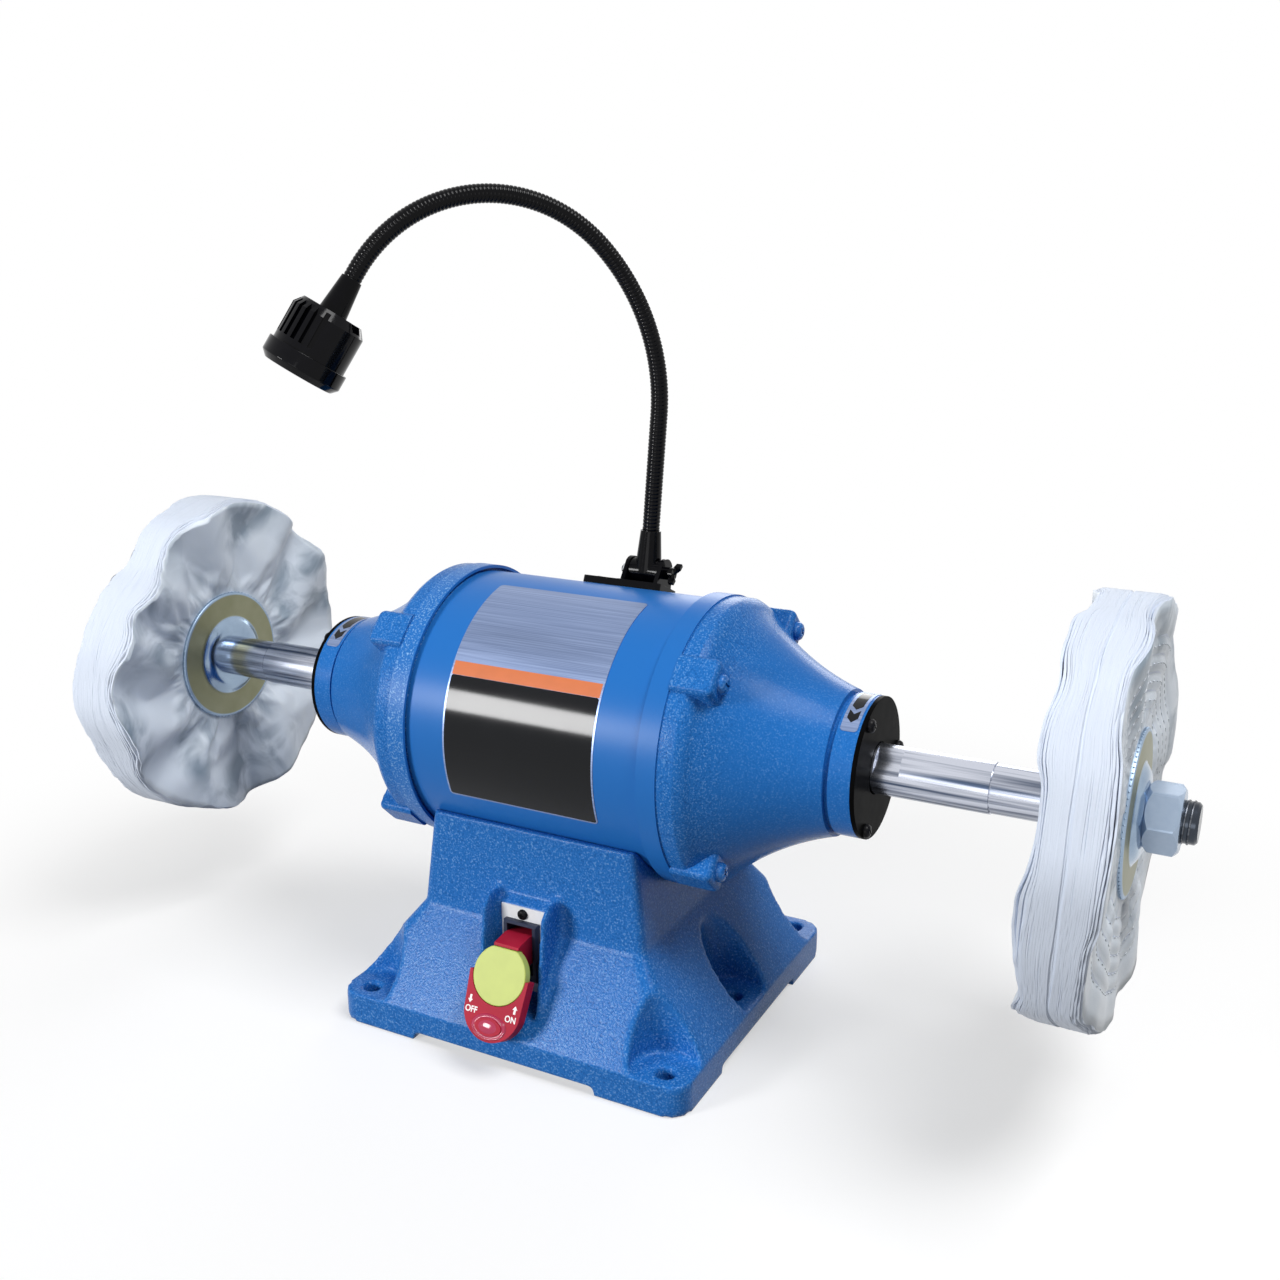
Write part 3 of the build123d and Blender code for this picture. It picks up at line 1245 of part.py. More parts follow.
def gooseneck():
    """Ribbed tube: each rib rises, runs level and falls, and the last run is plain in its ferrule."""
    pitch = NECK_RIBBED / NECK_RIBS
    stations = []
    for rib in range(NECK_RIBS):
        start = rib * pitch
        stations.append((start, NECK_VALLEY_R))
        stations.append((start + RIB_CREST_START * pitch, NECK_CREST_R))
        stations.append((start + RIB_CREST_END * pitch, NECK_CREST_R))
    stations.append((NECK_RIBBED, NECK_VALLEY_R))
    stations.append((NECK_LENGTH, NECK_VALLEY_R))
    tube = loft([neck_plane(distance) * Circle(radius) for distance, radius in stations], ruled=True)
    bends = [0, NECK_STRAIGHT]
    for length in NECK_ARCS:
        bends.append(bends[-1] + length)
    bends.append(NECK_LENGTH)
    points = [neck_place(*neck_station(distance)[:2]) for distance in bends]
    halfway = [neck_place(*neck_station((a + b) / 2)[:2]) for a, b in zip(bends, bends[1:])]
    route = [
        Line(points[0], points[1]),
        ThreePointArc(points[1], halfway[1], points[2]),
        ThreePointArc(points[2], halfway[2], points[3]),
        Line(points[3], points[4]),
    ]
    bore = sweep(neck_plane(0) * Circle(NECK_BORE_R), path=Curve() + route)
    return tube - bore


# Lamp head, drawn along Z from the end of the gooseneck's ribs
def head_place(shape):
    return neck_plane(NECK_RIBBED) * shape


HEAD_BACK = FERRULE_LENGTH - FERRULE_OVERLAP
HEAD_FRONT = HEAD_BACK + HEAD_LENGTH
BEZEL_FRONT = HEAD_FRONT + LAMP_BEZEL_LENGTH


def lamp_ferrule():
    cone = lathe([
        (0, -FERRULE_OVERLAP),
        (FERRULE_TOP_R, -FERRULE_OVERLAP),
        (FERRULE_BASE_R, HEAD_BACK),
        (0, HEAD_BACK),
    ])
    mouth = Pos(0, 0, -FERRULE_OVERLAP) * Circle(NECK_CREST_R + NECK_FIT)
    return head_place(cone - extrude(mouth, amount=FERRULE_OVERLAP + NECK_TAIL))


def lamp_housing():
    shell = lathe([
        (0, HEAD_BACK),
        (HEAD_BACK_R, HEAD_BACK),
        (HEAD_R, HEAD_BACK + HEAD_BACK_SLOPE),
        (HEAD_R, HEAD_FRONT),
        (HEAD_R - HEAD_WALL, HEAD_FRONT),
        (HEAD_R - HEAD_WALL, HEAD_FRONT - HEAD_WALL),
        (0, HEAD_FRONT - HEAD_WALL),
    ])
    for centre in FIN_CENTRES:
        for i in range(FIN_SLOTS):
            angle = centre + (i - (FIN_SLOTS - 1) / 2) * FIN_PITCH
            slot = block(
                (HEAD_R - FIN_SLOT_DEPTH, -FIN_SLOT_WIDTH / 2, HEAD_BACK - OVERCUT),
                (HEAD_R + OVERCUT, FIN_SLOT_WIDTH / 2, HEAD_BACK + FIN_LENGTH),
            )
            shell -= Rot(0, 0, angle) * slot
    notch = block(
        (HEAD_BACK_R - NOTCH_DEPTH, -NOTCH_WIDTH / 2, HEAD_BACK - OVERCUT),
        (HEAD_R + OVERCUT, NOTCH_WIDTH / 2, HEAD_BACK + NOTCH_DEPTH),
    )
    return head_place(shell - Rot(0, 0, NOTCH_ANGLE) * notch)


def lamp_bezel():
    """Front ring: a collar over the barrel, a chamfered nose and the edge that keeps the lens."""
    bore_r = LAMP_BEZEL_R - LAMP_BEZEL_WALL
    seat_r = bore_r - LAMP_BEZEL_STEP
    nose = BEZEL_FRONT - LAMP_BEZEL_CHAMFER
    return head_place(lathe([
        (seat_r, HEAD_FRONT),
        (LAMP_BEZEL_R, HEAD_FRONT),
        (LAMP_BEZEL_R, nose),
        (LAMP_BEZEL_LIP_R, BEZEL_FRONT),
        (LAMP_OPENING_R, BEZEL_FRONT),
        (LAMP_OPENING_R, BEZEL_FRONT - LAMP_BEZEL_FRONT),
        (bore_r, BEZEL_FRONT - LAMP_BEZEL_FRONT),
        (bore_r, HEAD_FRONT + LAMP_BEZEL_STEP),
        (seat_r, HEAD_FRONT + LAMP_BEZEL_STEP),
    ]))


def lamp_lens():
    top = BEZEL_FRONT - LAMP_BEZEL_FRONT
    radius = LAMP_BEZEL_R - LAMP_BEZEL_WALL - SEAT_GAP
    return head_place(extrude(Pos(0, 0, top - LENS_THICKNESS) * Circle(radius), amount=LENS_THICKNESS))


def lamp_board():
    """Board on the floor of the housing, with the light's dome on it."""
    floor = HEAD_FRONT - HEAD_WALL
    board = extrude(Pos(0, 0, floor) * Circle(LED_BOARD_R), amount=LED_BOARD_THICKNESS)
    dome = Pos(0, 0, floor + LED_BOARD_THICKNESS) * Circle(LED_R)
    return head_place(board + extrude(dome, amount=LED_RISE, taper=LED_TAPER))


def nodes():
    """Every node by name: one solid, or a list of like solids."""
    parts = {
        "base_casting": base_casting(),
        "bottom_cover": bottom_cover(),
        "bottom_cover_screws": bottom_cover_screws(),
        "saddle_screws": saddle_screws(),
        "cord_gland": cord_gland(),
        "start_capacitor": start_capacitor(),
        "capacitor_clamp": capacitor_clamp(),
        "motor_tube": motor_tube(),
        "stator_core": stator_core(),
        "stator_windings": stator_windings(),
        "end_bell_screws": end_bell_screws(),
        "bearing_cap_screws": bearing_cap_screws(),
        "preload_washer": preload_washer(),
        "start_switch": start_switch(),
        "spindle": spindle(),
        "rotor_core": rotor_core(),
        "rotor_end_rings": rotor_end_rings(),
        "centrifugal_actuator": centrifugal_actuator(),
        "switch_plate": switch_plate(),
        "switch_plate_screws": switch_plate_screws(),
        "switch_body": switch_body(),
        "switch_pivot_pin": switch_pivot_pin(),
        "switch_paddle": switch_paddle(),
        "lockout_key": lockout_key(),
        "lamp_bracket": lamp_bracket(),
        "lamp_bracket_screws": bracket_screws(),
        "wing_screw": wing_screw(),
        "pivot_nut": pivot_nut(),
        "lamp_knuckle": lamp_knuckle(),
        "gooseneck": gooseneck(),
        "lamp_ferrule": lamp_ferrule(),
        "lamp_housing": lamp_housing(),
        "lamp_bezel": lamp_bezel(),
        "lamp_lens": lamp_lens(),
        "lamp_board": lamp_board(),
    }
    for name, side in SIDES.items():
        parts[f"end_bell_{name}"] = end_bell(side)
        parts[f"bearing_outer_ring_{name}"] = bearing_outer_ring(side)
        parts[f"bearing_inner_ring_{name}"] = bearing_inner_ring(side)
        parts[f"bearing_cap_{name}"] = bearing_cap(side)
        parts[f"spindle_nut_{name}"] = spindle_nut(side)
        for place, outer in (("inner", False), ("outer", True)):
            parts[f"wheel_flange_{name}_{place}"] = wheel_flange(side, outer)
            parts[f"buff_pack_{name}_{place}"] = buff_pack(side, outer)
    return parts


def main():
    os.makedirs("parts", exist_ok=True)
    for name, shape in nodes().items():
        pieces = shape if isinstance(shape, list) else [shape]
        solids = [solid for piece in pieces for solid in piece.solids()]
        export_step(Compound(children=solids), f"parts/{name}.step")


main()
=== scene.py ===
"""Looks of a bench buffer with a gooseneck lamp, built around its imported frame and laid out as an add-on."""

import json
import math
from functools import partial

import bmesh
import bpy
import numpy as np
from bpy.props import FloatProperty, FloatVectorProperty, IntProperty, PointerProperty
from mathutils import Matrix, Vector


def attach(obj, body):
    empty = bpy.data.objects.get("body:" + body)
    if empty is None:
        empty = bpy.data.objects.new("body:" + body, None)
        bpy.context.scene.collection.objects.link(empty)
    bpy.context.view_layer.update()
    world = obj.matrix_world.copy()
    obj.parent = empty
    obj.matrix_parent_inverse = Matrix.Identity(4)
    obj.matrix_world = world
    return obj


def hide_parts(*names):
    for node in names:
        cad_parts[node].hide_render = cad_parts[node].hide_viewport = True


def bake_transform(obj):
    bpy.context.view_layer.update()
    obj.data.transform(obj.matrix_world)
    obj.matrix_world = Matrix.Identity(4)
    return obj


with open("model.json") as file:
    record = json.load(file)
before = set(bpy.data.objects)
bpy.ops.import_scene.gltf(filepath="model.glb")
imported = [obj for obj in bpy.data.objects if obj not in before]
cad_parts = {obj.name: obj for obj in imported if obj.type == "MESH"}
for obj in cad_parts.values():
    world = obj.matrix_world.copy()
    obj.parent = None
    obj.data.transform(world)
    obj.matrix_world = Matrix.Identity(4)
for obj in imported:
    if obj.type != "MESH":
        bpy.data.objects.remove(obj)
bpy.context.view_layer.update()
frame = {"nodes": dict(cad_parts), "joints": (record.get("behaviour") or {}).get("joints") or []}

bl_info = {
    "name": "Bench Buffer",
    "version": (1, 0, 0),
    "blender": (4, 5, 0),
    "location": "View3D > Sidebar > Buffer",
    "description": "Dresses the packed bench buffer: castings, cotton wheels, switch, plates and lamp",
    "category": "Object",
}

MM = 0.001
NODES = frame["nodes"]
JOINTS = {joint["name"]: joint for joint in frame["joints"]}
SIDES = {"left": -1, "right": 1}
SHAFT_Z = JOINTS["spindle_spin"]["pos_m"][2]

# Camera of the photograph, whose frame is square
CAMERA_PLACE = (0.46044, -0.80795, 0.53608)
CAMERA_YAW = 27.46
CAMERA_PITCH = -16.15
CAMERA_LENS = 38.98
SENSOR_WIDTH = 36.0

# Soft lights, all aimed at one point: place and side in metres, and power in watts
LIGHT_AIM = (0.0, 0.0, 0.2)
LIGHTS = {
    "key_light": ((-1.42, -2.4, 0.9), 0.7, 55.0),
    "fill_light": ((0.25, -2.4, 0.3), 1.2, 10.0),
    "top_light": ((1.4, -0.2, 2.9), 1.4, 72.0),
    "back_light": ((-0.5, 2.4, 1.0), 1.2, 14.0),
}
WHITE = (1.0, 1.0, 1.0, 1.0)

# Floor, in millimetres: how far it lies below the feet, and how far out its shadow starts to fade
FLOOR_DROP = 0.4
SHADOW_START = 300.0

# Motor and its plates, in millimetres and degrees
TUBE_R = 95.0
COLLAR_R = 46.5
COLLAR_MIDDLE = 202.25
PLATE_SPAN = (-59.0, 56.0)
PLATE_ANGLES = (10.4, 112.8)
PLATE_BAND = (54.6, 60.3)
PLATE_MARGIN = 1.2
PLATE_CORNER = 3.0
FIELD_CORNER = 1.6
BAND_CORNER = 0.3
BAND_GAP = 0.1
FILM = 0.06
TAG_ANGLES = (-22.0, 44.0)
TAG_HALF = 5.6
TAG_CORNER = 2.4
TAG_THICKNESS = 0.3
# An arrow's tail, back from the tag's end, and its run
TAG_ARROWS = ((17.0, 7.0), (45.0, 24.0))
TAG_ARROW_HALF = 3.6

# Screws: circle radius, seat plane, head radius and head height
LUG_ANGLES = (136.0, 46.0, -44.0, -134.0)
BELL_SCREW = (90.0, 130.5, 6.5, 4.5)
CAP_ANGLES = (121.0, 241.0, 1.0)
CAP_SCREW = (41.2, 212.5, 4.6, 3.6)
PLATE_SCREW = (-93.2, 3.7, 2.6)
PLATE_SCREW_HEIGHTS = (98.2, 46.8)
BRACKET_SCREW = (3.6, 2.2)
BRACKET_SCREW_X = (-12.75, 3.25)
BRACKET_ANGLE = 66.0
BRACKET_THICKNESS = 4.0
# Shares of a head's radius and height
HEAD_PROFILE = (
    (0.0, 1.0), (0.55, 1.0), (0.82, 0.82), (1.0, 0.45), (1.0, 0.0), (0.45, 0.0), (0.45, -1.0), (0.0, -1.0),
)
RECESS_RUN = 1.15
RECESS_WIDTH = 0.22

# Spindle, nuts and flanges, in millimetres
SHAFT_END = 406.4
ARBOR_R = 12.7
NUT_START = 377.0
NUT_END = 397.0
NUT_FLAT_R = 19.05
NUT_CORNER_R = 21.75
NUT_RING = 0.5
NUT_CHAMFER = 0.3
THREAD_START = NUT_END + 0.6
THREAD_RUN = SHAFT_END - NUT_END - 3.0
THREAD_RIDGE = 0.75
FLANGE_THICKNESS = 2.6
FLANGE_DOME_R = 31.0
FLANGE_EDGE_R = 48.6
FLANGE_PROFILE = (
    (51.0, 0.0), (51.0, 1.9), (50.4, 2.5), (49.4, 2.6), (34.0, 2.6), (32.2, 2.8), (30.6, 3.5), (28.6, 4.9),
    (26.6, 6.1), (24.4, 6.9), (21.8, 7.35), (19.0, 7.5), (12.8, 7.5), (12.8, 5.0), (20.0, 4.9), (24.0, 4.2),
    (27.5, 2.6), (31.0, 0.0),
)
FLANGE_STEPS = 96
TOOTH_R = 0.6

# Wheels, in millimetres and degrees. A wheel's flat and its lean have their place round it and their spread
WHEEL_MIDDLE = 353.7
HUB_R = 13.0
CLAMP_R = 51.0
PACK_HUB = 15.8
PACK_RIM = 21.0
FACE_SHARE = 0.3
FACE_TAPER = 3.0
FACE_R = 120.0
FACE_RINGS = 40
PLY_RINGS = (88.0, 99.0, 110.0)
EDGE_INSET = 3.0
SPLIT_DEPTH = 1.8
LOOSE_CURL = 2.0
SEWN_CURL = 1.2
STREAK_R = 130.0
FLAT_PLACE = (44.0, 28.0)
LEAN_PLACE = (138.0, 34.0)
WHEEL_FORMS = {
    "left": {"slack": 1.0, "rim": 21.5, "uneven": 0.9, "seam": 0.2, "flat": 18.0, "lean": 0.0, "wider": 0.0},
    "right": {"slack": 0.25, "rim": 19.0, "uneven": 1.0, "seam": 0.8, "flat": 0.0, "lean": 7.0, "wider": 3.0},
}
LOOSE_FULLNESS = 0.13
SEWN_FULLNESS = 0.04
SEWN_SLACK = 0.25
CLOTH_STIFFNESS = 1.2
SEWN_FROM = 62.0
SEWN_TO = 112.0
SEWN_TURNS = 4.5
SEWN_STAND = 60.0
CHANNEL_PITCH = 11.1
CHANNEL_DEPTH = 1.3
CHANNEL_HALF = 2.6

# Paddle: the key's centre, how far the face leans back, and its marks and pad about that centre
KEY_CENTRE = (0.0, -124.2, 68.0)
PADDLE_TILT = 25.0
MARK_WORDS = (("OFF", -15.6, -27.6), ("ON", 15.0, -27.6))
MARK_ARROWS = ((-17.6, -19.2, -1), (17.0, -19.2, 1))
MARK_ARROW = ((-0.8, -2.6), (0.8, -2.6), (0.8, 0.3), (1.9, 0.3), (0, 2.8), (-1.9, 0.3), (-0.8, 0.3))
MARK_HEIGHT = 0.11
WORD_SIZE = 5.8
WORD_BOLD = 0.12
WORD_WIDTH = 0.92
WORD_DEPTH = 0.06
WORD_LIFT = 0.05
PAD_DROP = 34.0
PAD_HALF = (13.4, 8.4)
PAD_PROFILE = (
    (0.0, 2.2), (0.2, 2.15), (0.4, 1.9), (0.6, 1.35), (0.75, 0.75), (0.82, 0.6), (0.88, 0.95), (0.94, 1.0),
    (1.0, 0.1),
)

# Gooseneck route in its own upright plane, in millimetres and degrees
NECK_HEADING = 225.0
NECK_LEAN = 4.0
NECK_START = 19.5
NECK_STRAIGHT = 90.5
NECK_ARCS = ((149.0, 47.2), (101.8, 104.3))
NECK_RUN_OUT = 21.0
NECK_CREST_R = 6.1
NECK_VALLEY_R = 5.7


def linear(code):
    """Linear colour, with its alpha, of an sRGB hex value."""
    channels = [int(code[i:i + 2], 16) / 255 for i in (1, 3, 5)]
    return [c / 12.92 if c <= 0.04045 else ((c + 0.055) / 1.055) ** 2.4 for c in channels] + [1.0]


def tint(label, code):
    """A colour property."""
    what = f"Colour of the {label.lower()}"
    return FloatVectorProperty(
        name=label, description=what, default=linear(code), subtype="COLOR", size=4, min=0.0, max=1.0,
    )


def length(label, what, millimetres):
    """A length property, whose default is given in millimetres."""
    return FloatProperty(name=label, description=what, default=millimetres * MM, min=0.0, unit="LENGTH")


class BufferSizes(bpy.types.PropertyGroup):
    """Sizes of what the scene adds to the frame"""

    wheel_radius: length("Wheel radius", "Radius of the cotton wheels at their rims", 127.0)
    ragged: length("Ragged edge", "How far the cloth's edge wanders in and out", 1.6)
    fold: length("Fold height", "Height of the soft folds on a wheel's loose face", 11.0)
    rim_wave: length("Rim wave", "Sideways wave of the line between a wheel's two packs", 1.3)
    stitch: length("Stitch pitch", "Distance between the stitches of the sewn spiral", 6.0)
    plies: IntProperty(name="Plies", description="Layers drawn in each pack", default=15, min=3, max=40)
    ribs: IntProperty(name="Ribs", description="Ribs of the gooseneck", default=164, min=20, max=200)
    cast_voxel: length("Casting grid", "Grid on which the pedestal's edges are softened", 2.0)
    plate: length("Plate thickness", "Thickness of the nameplate", 0.4)


class BufferColours(bpy.types.PropertyGroup):
    """Colours of the buffer's finishes"""

    enamel: tint("Blue enamel", "#236DBB")
    # The enamel's flecks are painted glints, and its hollows are painted shade
    enamel_bright: tint("Blue enamel's flecks", "#86B4E2")
    enamel_deep: tint("Blue enamel's hollows", "#1B59A0")
    cotton: tint("Cotton", "#DAE3F2")
    # The polished face's paler colour is painted light, and the smoky patches are painted shade
    cotton_pale: tint("Polished cotton face", "#EBF4FE")
    cotton_grey: tint("Cotton's smoky patches", "#97A7B6")
    paddle: tint("Red paddle", "#B3203A")
    key: tint("Yellow key", "#C2CF6A")
    band: tint("Nameplate band", "#D87848")


def pick(sockets, name=None):
    """The first socket in use, or the first of this name, which has underscores for its spaces."""
    return next(item for item in sockets if item.enabled and name in (None, item.name.replace(" ", "_")))


def give(node, *values, **named):
    """Set or link a node's inputs: values fill them in their order, and named ones find theirs."""
    pairs = [*zip(node.inputs, values), *((pick(node.inputs, name), value) for name, value in named.items())]
    for socket, value in pairs:
        if isinstance(value, bpy.types.NodeSocket):
            node.id_data.links.new(value, socket)
        else:
            socket.default_value = value


def add(tree, kind, *values, take=None, **named):
    """Add a node and return its first output in use, or the one to take.

    A name with a capital letter is one of its inputs, and any other is a setting. A Mix node mixes colours.
    """
    families = ("GeometryNode", "ShaderNode", "FunctionNode") if tree.type == "GEOMETRY" else ("ShaderNode",)
    node = tree.nodes.new(next(family + kind for family in families if hasattr(bpy.types, family + kind)))
    if kind == "Mix":
        node.data_type = "RGBA"
    inputs = {name: value for name, value in named.items() if name[0].isupper()}
    for name, value in named.items():
        if name not in inputs:
            setattr(node, name, value)
    give(node, *values, **inputs)
    return pick(node.outputs, take)


# Materials
def finish(name):
    """A new material, with the way to add to its tree, its shader and its object coordinates in metres."""
    made = bpy.data.materials.new(name)
    made.use_nodes = True
    node = partial(add, made.node_tree)
    return made, node, made.node_tree.nodes["Principled BSDF"], node("TexCoord", take="Object")


def per_metre(size):
    """Scale of a pattern whose grain has this size in millimetres."""
    return 1 / (size * MM)


def cast_enamel(name, colours, grain, height, shine, turned_from=0.0):
    """Blue stoving enamel on sand-cast iron: pebbled, so single flecks catch the light. Paler crests are
    painted glints and darker hollows painted shade.

    Further out along the spindle than turned_from the casting was turned, and there the pebble is fainter.
    """
    made, node, shader, place = finish(name)
    pebble = node("TexNoise", Vector=place, Scale=per_metre(grain), Detail=2.0)
    cloud = node("TexNoise", Vector=place, Scale=per_metre(45.5), Detail=2.0)
    cloudy = node("MapRange", Value=cloud, To_Min=0.35, To_Max=0.75)
    # Painted glints: paler flecks on the pebble's crests, thinned out in clouds
    painted_glint = node("MapRange", Value=pebble, From_Min=0.54, From_Max=0.72)
    painted_glint = node("Math", painted_glint, cloudy, operation="MULTIPLY")
    # Painted shade: the pebble's hollows are darker
    hollow_shade = node("MapRange", Value=pebble, From_Min=0.46, From_Max=0.3)
    tone = node("Mix", Factor=hollow_shade, A=colours.enamel, B=colours.enamel_deep)
    tone = node("Mix", Factor=painted_glint, A=tone, B=colours.enamel_bright)
    if turned_from:
        low, high = turned_from * MM, (turned_from + 14.0) * MM
        out = node("Math", node("SeparateXYZ", Vector=place), operation="ABSOLUTE")
        rough = node("MapRange", Value=out, From_Min=low, From_Max=high, To_Min=1.0, To_Max=0.4)
        pebble = node("Math", pebble, rough, operation="MULTIPLY")
        tone = node("Mix", Factor=rough, A=colours.enamel, B=tone)
    bump = node("Bump", Height=pebble, Strength=1.0, Distance=height * MM)
    give(shader, Base_Color=tone, Normal=bump, Roughness=0.22, Specular_IOR_Level=shine)
    return made


def tube_enamel(colours):
    """Blue enamel sprayed on a turned tube: smooth satin with a faint orange peel.

    Its left flange, past the tube's end, is cast and rougher, with paler flecks painted on as glints.
    """
    made, node, shader, place = finish("satin_enamel_on_turned_tube")
    peel = node("TexNoise", Vector=place, Scale=per_metre(3.85), Detail=1.0)
    grain = node("TexNoise", Vector=place, Scale=per_metre(1.25), Detail=2.0)
    cast = node("MapRange", Value=node("SeparateXYZ", Vector=place), From_Min=-88.5 * MM, From_Max=-89.5 * MM)
    # Painted glints: paler flecks on the cast flange only
    painted_glint = node("MapRange", Value=grain, From_Min=0.52, From_Max=0.72)
    painted_glint = node("Math", painted_glint, cast, operation="MULTIPLY")
    tone = node("Mix", Factor=painted_glint, A=colours.enamel, B=colours.enamel_bright)
    smooth = node("Math", peel, 0.12, operation="MULTIPLY")
    relief = node("Math", grain, cast, smooth, operation="MULTIPLY_ADD")
    bump = node("Bump", Height=relief, Strength=0.7, Distance=0.25 * MM)
    give(shader, Base_Color=tone, Normal=bump, Roughness=0.34, Specular_IOR_Level=0.18)
    return made


def black_gloss(name, code, roughness, grain, depth=0.1, shine=0.1):
    """Black enamel or moulded black plastic: deep, with a slight unevenness that breaks its highlights."""
    made, node, shader, place = finish(name)
    uneven = node("TexNoise", Vector=place, Scale=per_metre(grain), Detail=3.0)
    wear = node("MapRange", Value=uneven, To_Min=roughness * 0.75, To_Max=roughness * 1.3)
    dust = node("MapRange", Value=uneven, From_Min=0.5, From_Max=0.9, To_Max=0.15)
    tone = node("Mix", Factor=dust, A=linear(code), B=linear("#1C1D21"))
    bump = node("Bump", Height=uneven, Strength=0.4, Distance=depth * MM)
    give(shader, Base_Color=tone, Roughness=wear, Normal=bump, Specular_IOR_Level=shine)
    return made


def metal(
    name, pale, dark, roughness, grain, run=166.7, seat=SHAFT_Z, detail=3.0, band=(0.42, 0.66),
    gloss=(0.6, 1.5), relief=(0.3, 0.1), metallic=1.0, oiled_from=0.0,
):
    """Bright metal, turned unless told otherwise: streaks of light and dark run along the spindle, partly
    polishing marks and partly painted reflections of bright and dark surroundings.

    A streak is run long and grain wide, in millimetres. Real polishing is finer, and would be lost in the
    picture. Further out than oiled_from the metal is threaded and dark with oil.
    """
    made, node, shader, place = finish(name)
    scale = [per_metre(size) for size in (run, grain, grain)]
    laid = node("Mapping", Vector=place, Location=(0.0, 0.0, -seat * scale[2]), Scale=scale)
    polish_and_reflection = node("TexNoise", Vector=laid, Scale=1.0, Detail=detail)
    share = node("MapRange", Value=polish_and_reflection, From_Min=band[0], From_Max=band[1])
    # Painted reflections: the pale and dark streaks stand in for bright and dark surroundings mirrored in the
    # metal, along with polishing marks
    tone = node("Mix", Factor=share, A=linear(pale), B=linear(dark))
    if oiled_from:
        out = node("Math", node("SeparateXYZ", Vector=place), operation="ABSOLUTE")
        oiled = node("Math", out, oiled_from * MM, operation="GREATER_THAN")
        tone = node("Mix", Factor=oiled, A=tone, B=linear("#3E434B"))
    blur = node("MapRange", Value=polish_and_reflection, To_Min=roughness * gloss[0], To_Max=roughness * gloss[1])
    bump = node("Bump", Height=polish_and_reflection, Strength=relief[0], Distance=relief[1] * MM)
    give(shader, Base_Color=tone, Metallic=metallic, Roughness=blur, Normal=bump)
    return made


def zinc_flange():
    """Zinc-plated pressed steel: a yellow-passivated flat ring round a bluer, brighter dome. The ring's
    olive-gold tone is partly passivation and partly a painted reflection.
    """
    made, node, shader, place = finish("yellow_zinc_plate")
    centred = node("VectorMath", place, (0.0, 0.0, SHAFT_Z), operation="SUBTRACT")
    across = node("VectorMath", centred, (0.0, 1.0, 1.0), operation="MULTIPLY")
    radius = node("VectorMath", across, operation="LENGTH")
    outer = node("MapRange", Value=radius, From_Min=FLANGE_DOME_R * MM, From_Max=(FLANGE_DOME_R + 1.2) * MM)
    edge = node("MapRange", Value=radius, From_Min=FLANGE_EDGE_R * MM, From_Max=(FLANGE_EDGE_R + 1.0) * MM)
    mottle = node("TexNoise", Vector=place, Scale=per_metre(18.2), Detail=4.0)
    # Partly yellow passivation, partly a painted reflection of something olive-gold
    gold_and_reflection = node("Mix", Factor=mottle, A=linear("#74755A"), B=linear("#8C8D78"))
    steel = node("Mix", Factor=mottle, A=linear("#7C90A8"), B=linear("#A6B9CC"))
    tone = node("Mix", Factor=outer, A=steel, B=gold_and_reflection)
    tone = node("Mix", Factor=edge, A=tone, B=steel)
    blur = node("MapRange", Value=outer, To_Min=0.2, To_Max=0.42)
    bump = node("Bump", Height=mottle, Strength=0.2, Distance=0.3 * MM)
    give(shader, Base_Color=tone, Metallic=1.0, Roughness=blur, Normal=bump)
    return made


def cotton(colours):
    """Bleached cotton sheeting in plies: matt and fibrous at the rim, sleek on a face, painted paler as
    painted light, with smoky patches and ply lines of painted shade.
    """
    made, node, shader, place = finish("cotton_sheeting")
    ply = node("Attribute", attribute_name="ply", take="Fac")
    face = node("Attribute", attribute_name="face", take="Fac")
    polar = node("Attribute", attribute_name="polar", take="Vector")
    fibre = node("TexNoise", Vector=place, Scale=per_metre(1.11), Detail=3.0)
    line = node("TexNoise", W=ply, Scale=2.4, Detail=2.0, noise_dimensions="1D")
    streak = node("TexNoise", Vector=polar, Scale=4.0, Detail=3.0, Distortion=0.8)
    patch = node("TexNoise", Vector=place, Scale=per_metre(66.7), Detail=1.0)
    # Painted shade: smoky patches and streaks on a face stand in for the shading of folds and a satin sheen
    shade = node("MapRange", Value=patch, From_Min=0.44, From_Max=0.6)
    sleek = node("MapRange", Value=streak, From_Min=0.36, From_Max=0.62)
    painted_shade = node("Math", shade, sleek, 0.03, operation="MULTIPLY_ADD")
    painted_shade = node("Math", painted_shade, face, operation="MULTIPLY")
    # Painted shade: darker lines between the plies
    crease_shade = node("MapRange", Value=line, From_Min=0.42, From_Max=0.3, To_Max=0.12)
    tone = node("Mix", Factor=crease_shade, A=colours.cotton, B=colours.cotton_grey)
    # Painted light: a face is painted paler than the rim
    tone = node("Mix", Factor=face, A=tone, B=colours.cotton_pale)
    tone = node("Mix", Factor=painted_shade, A=tone, B=colours.cotton_grey)
    blur = node("MapRange", Value=face, To_Min=0.8, To_Max=0.4)
    bump = node("Bump", Height=fibre, Strength=0.4, Distance=0.25 * MM)
    give(shader, Base_Color=tone, Roughness=blur, Normal=bump, Sheen_Weight=0.2, Sheen_Roughness=0.4)
    return made


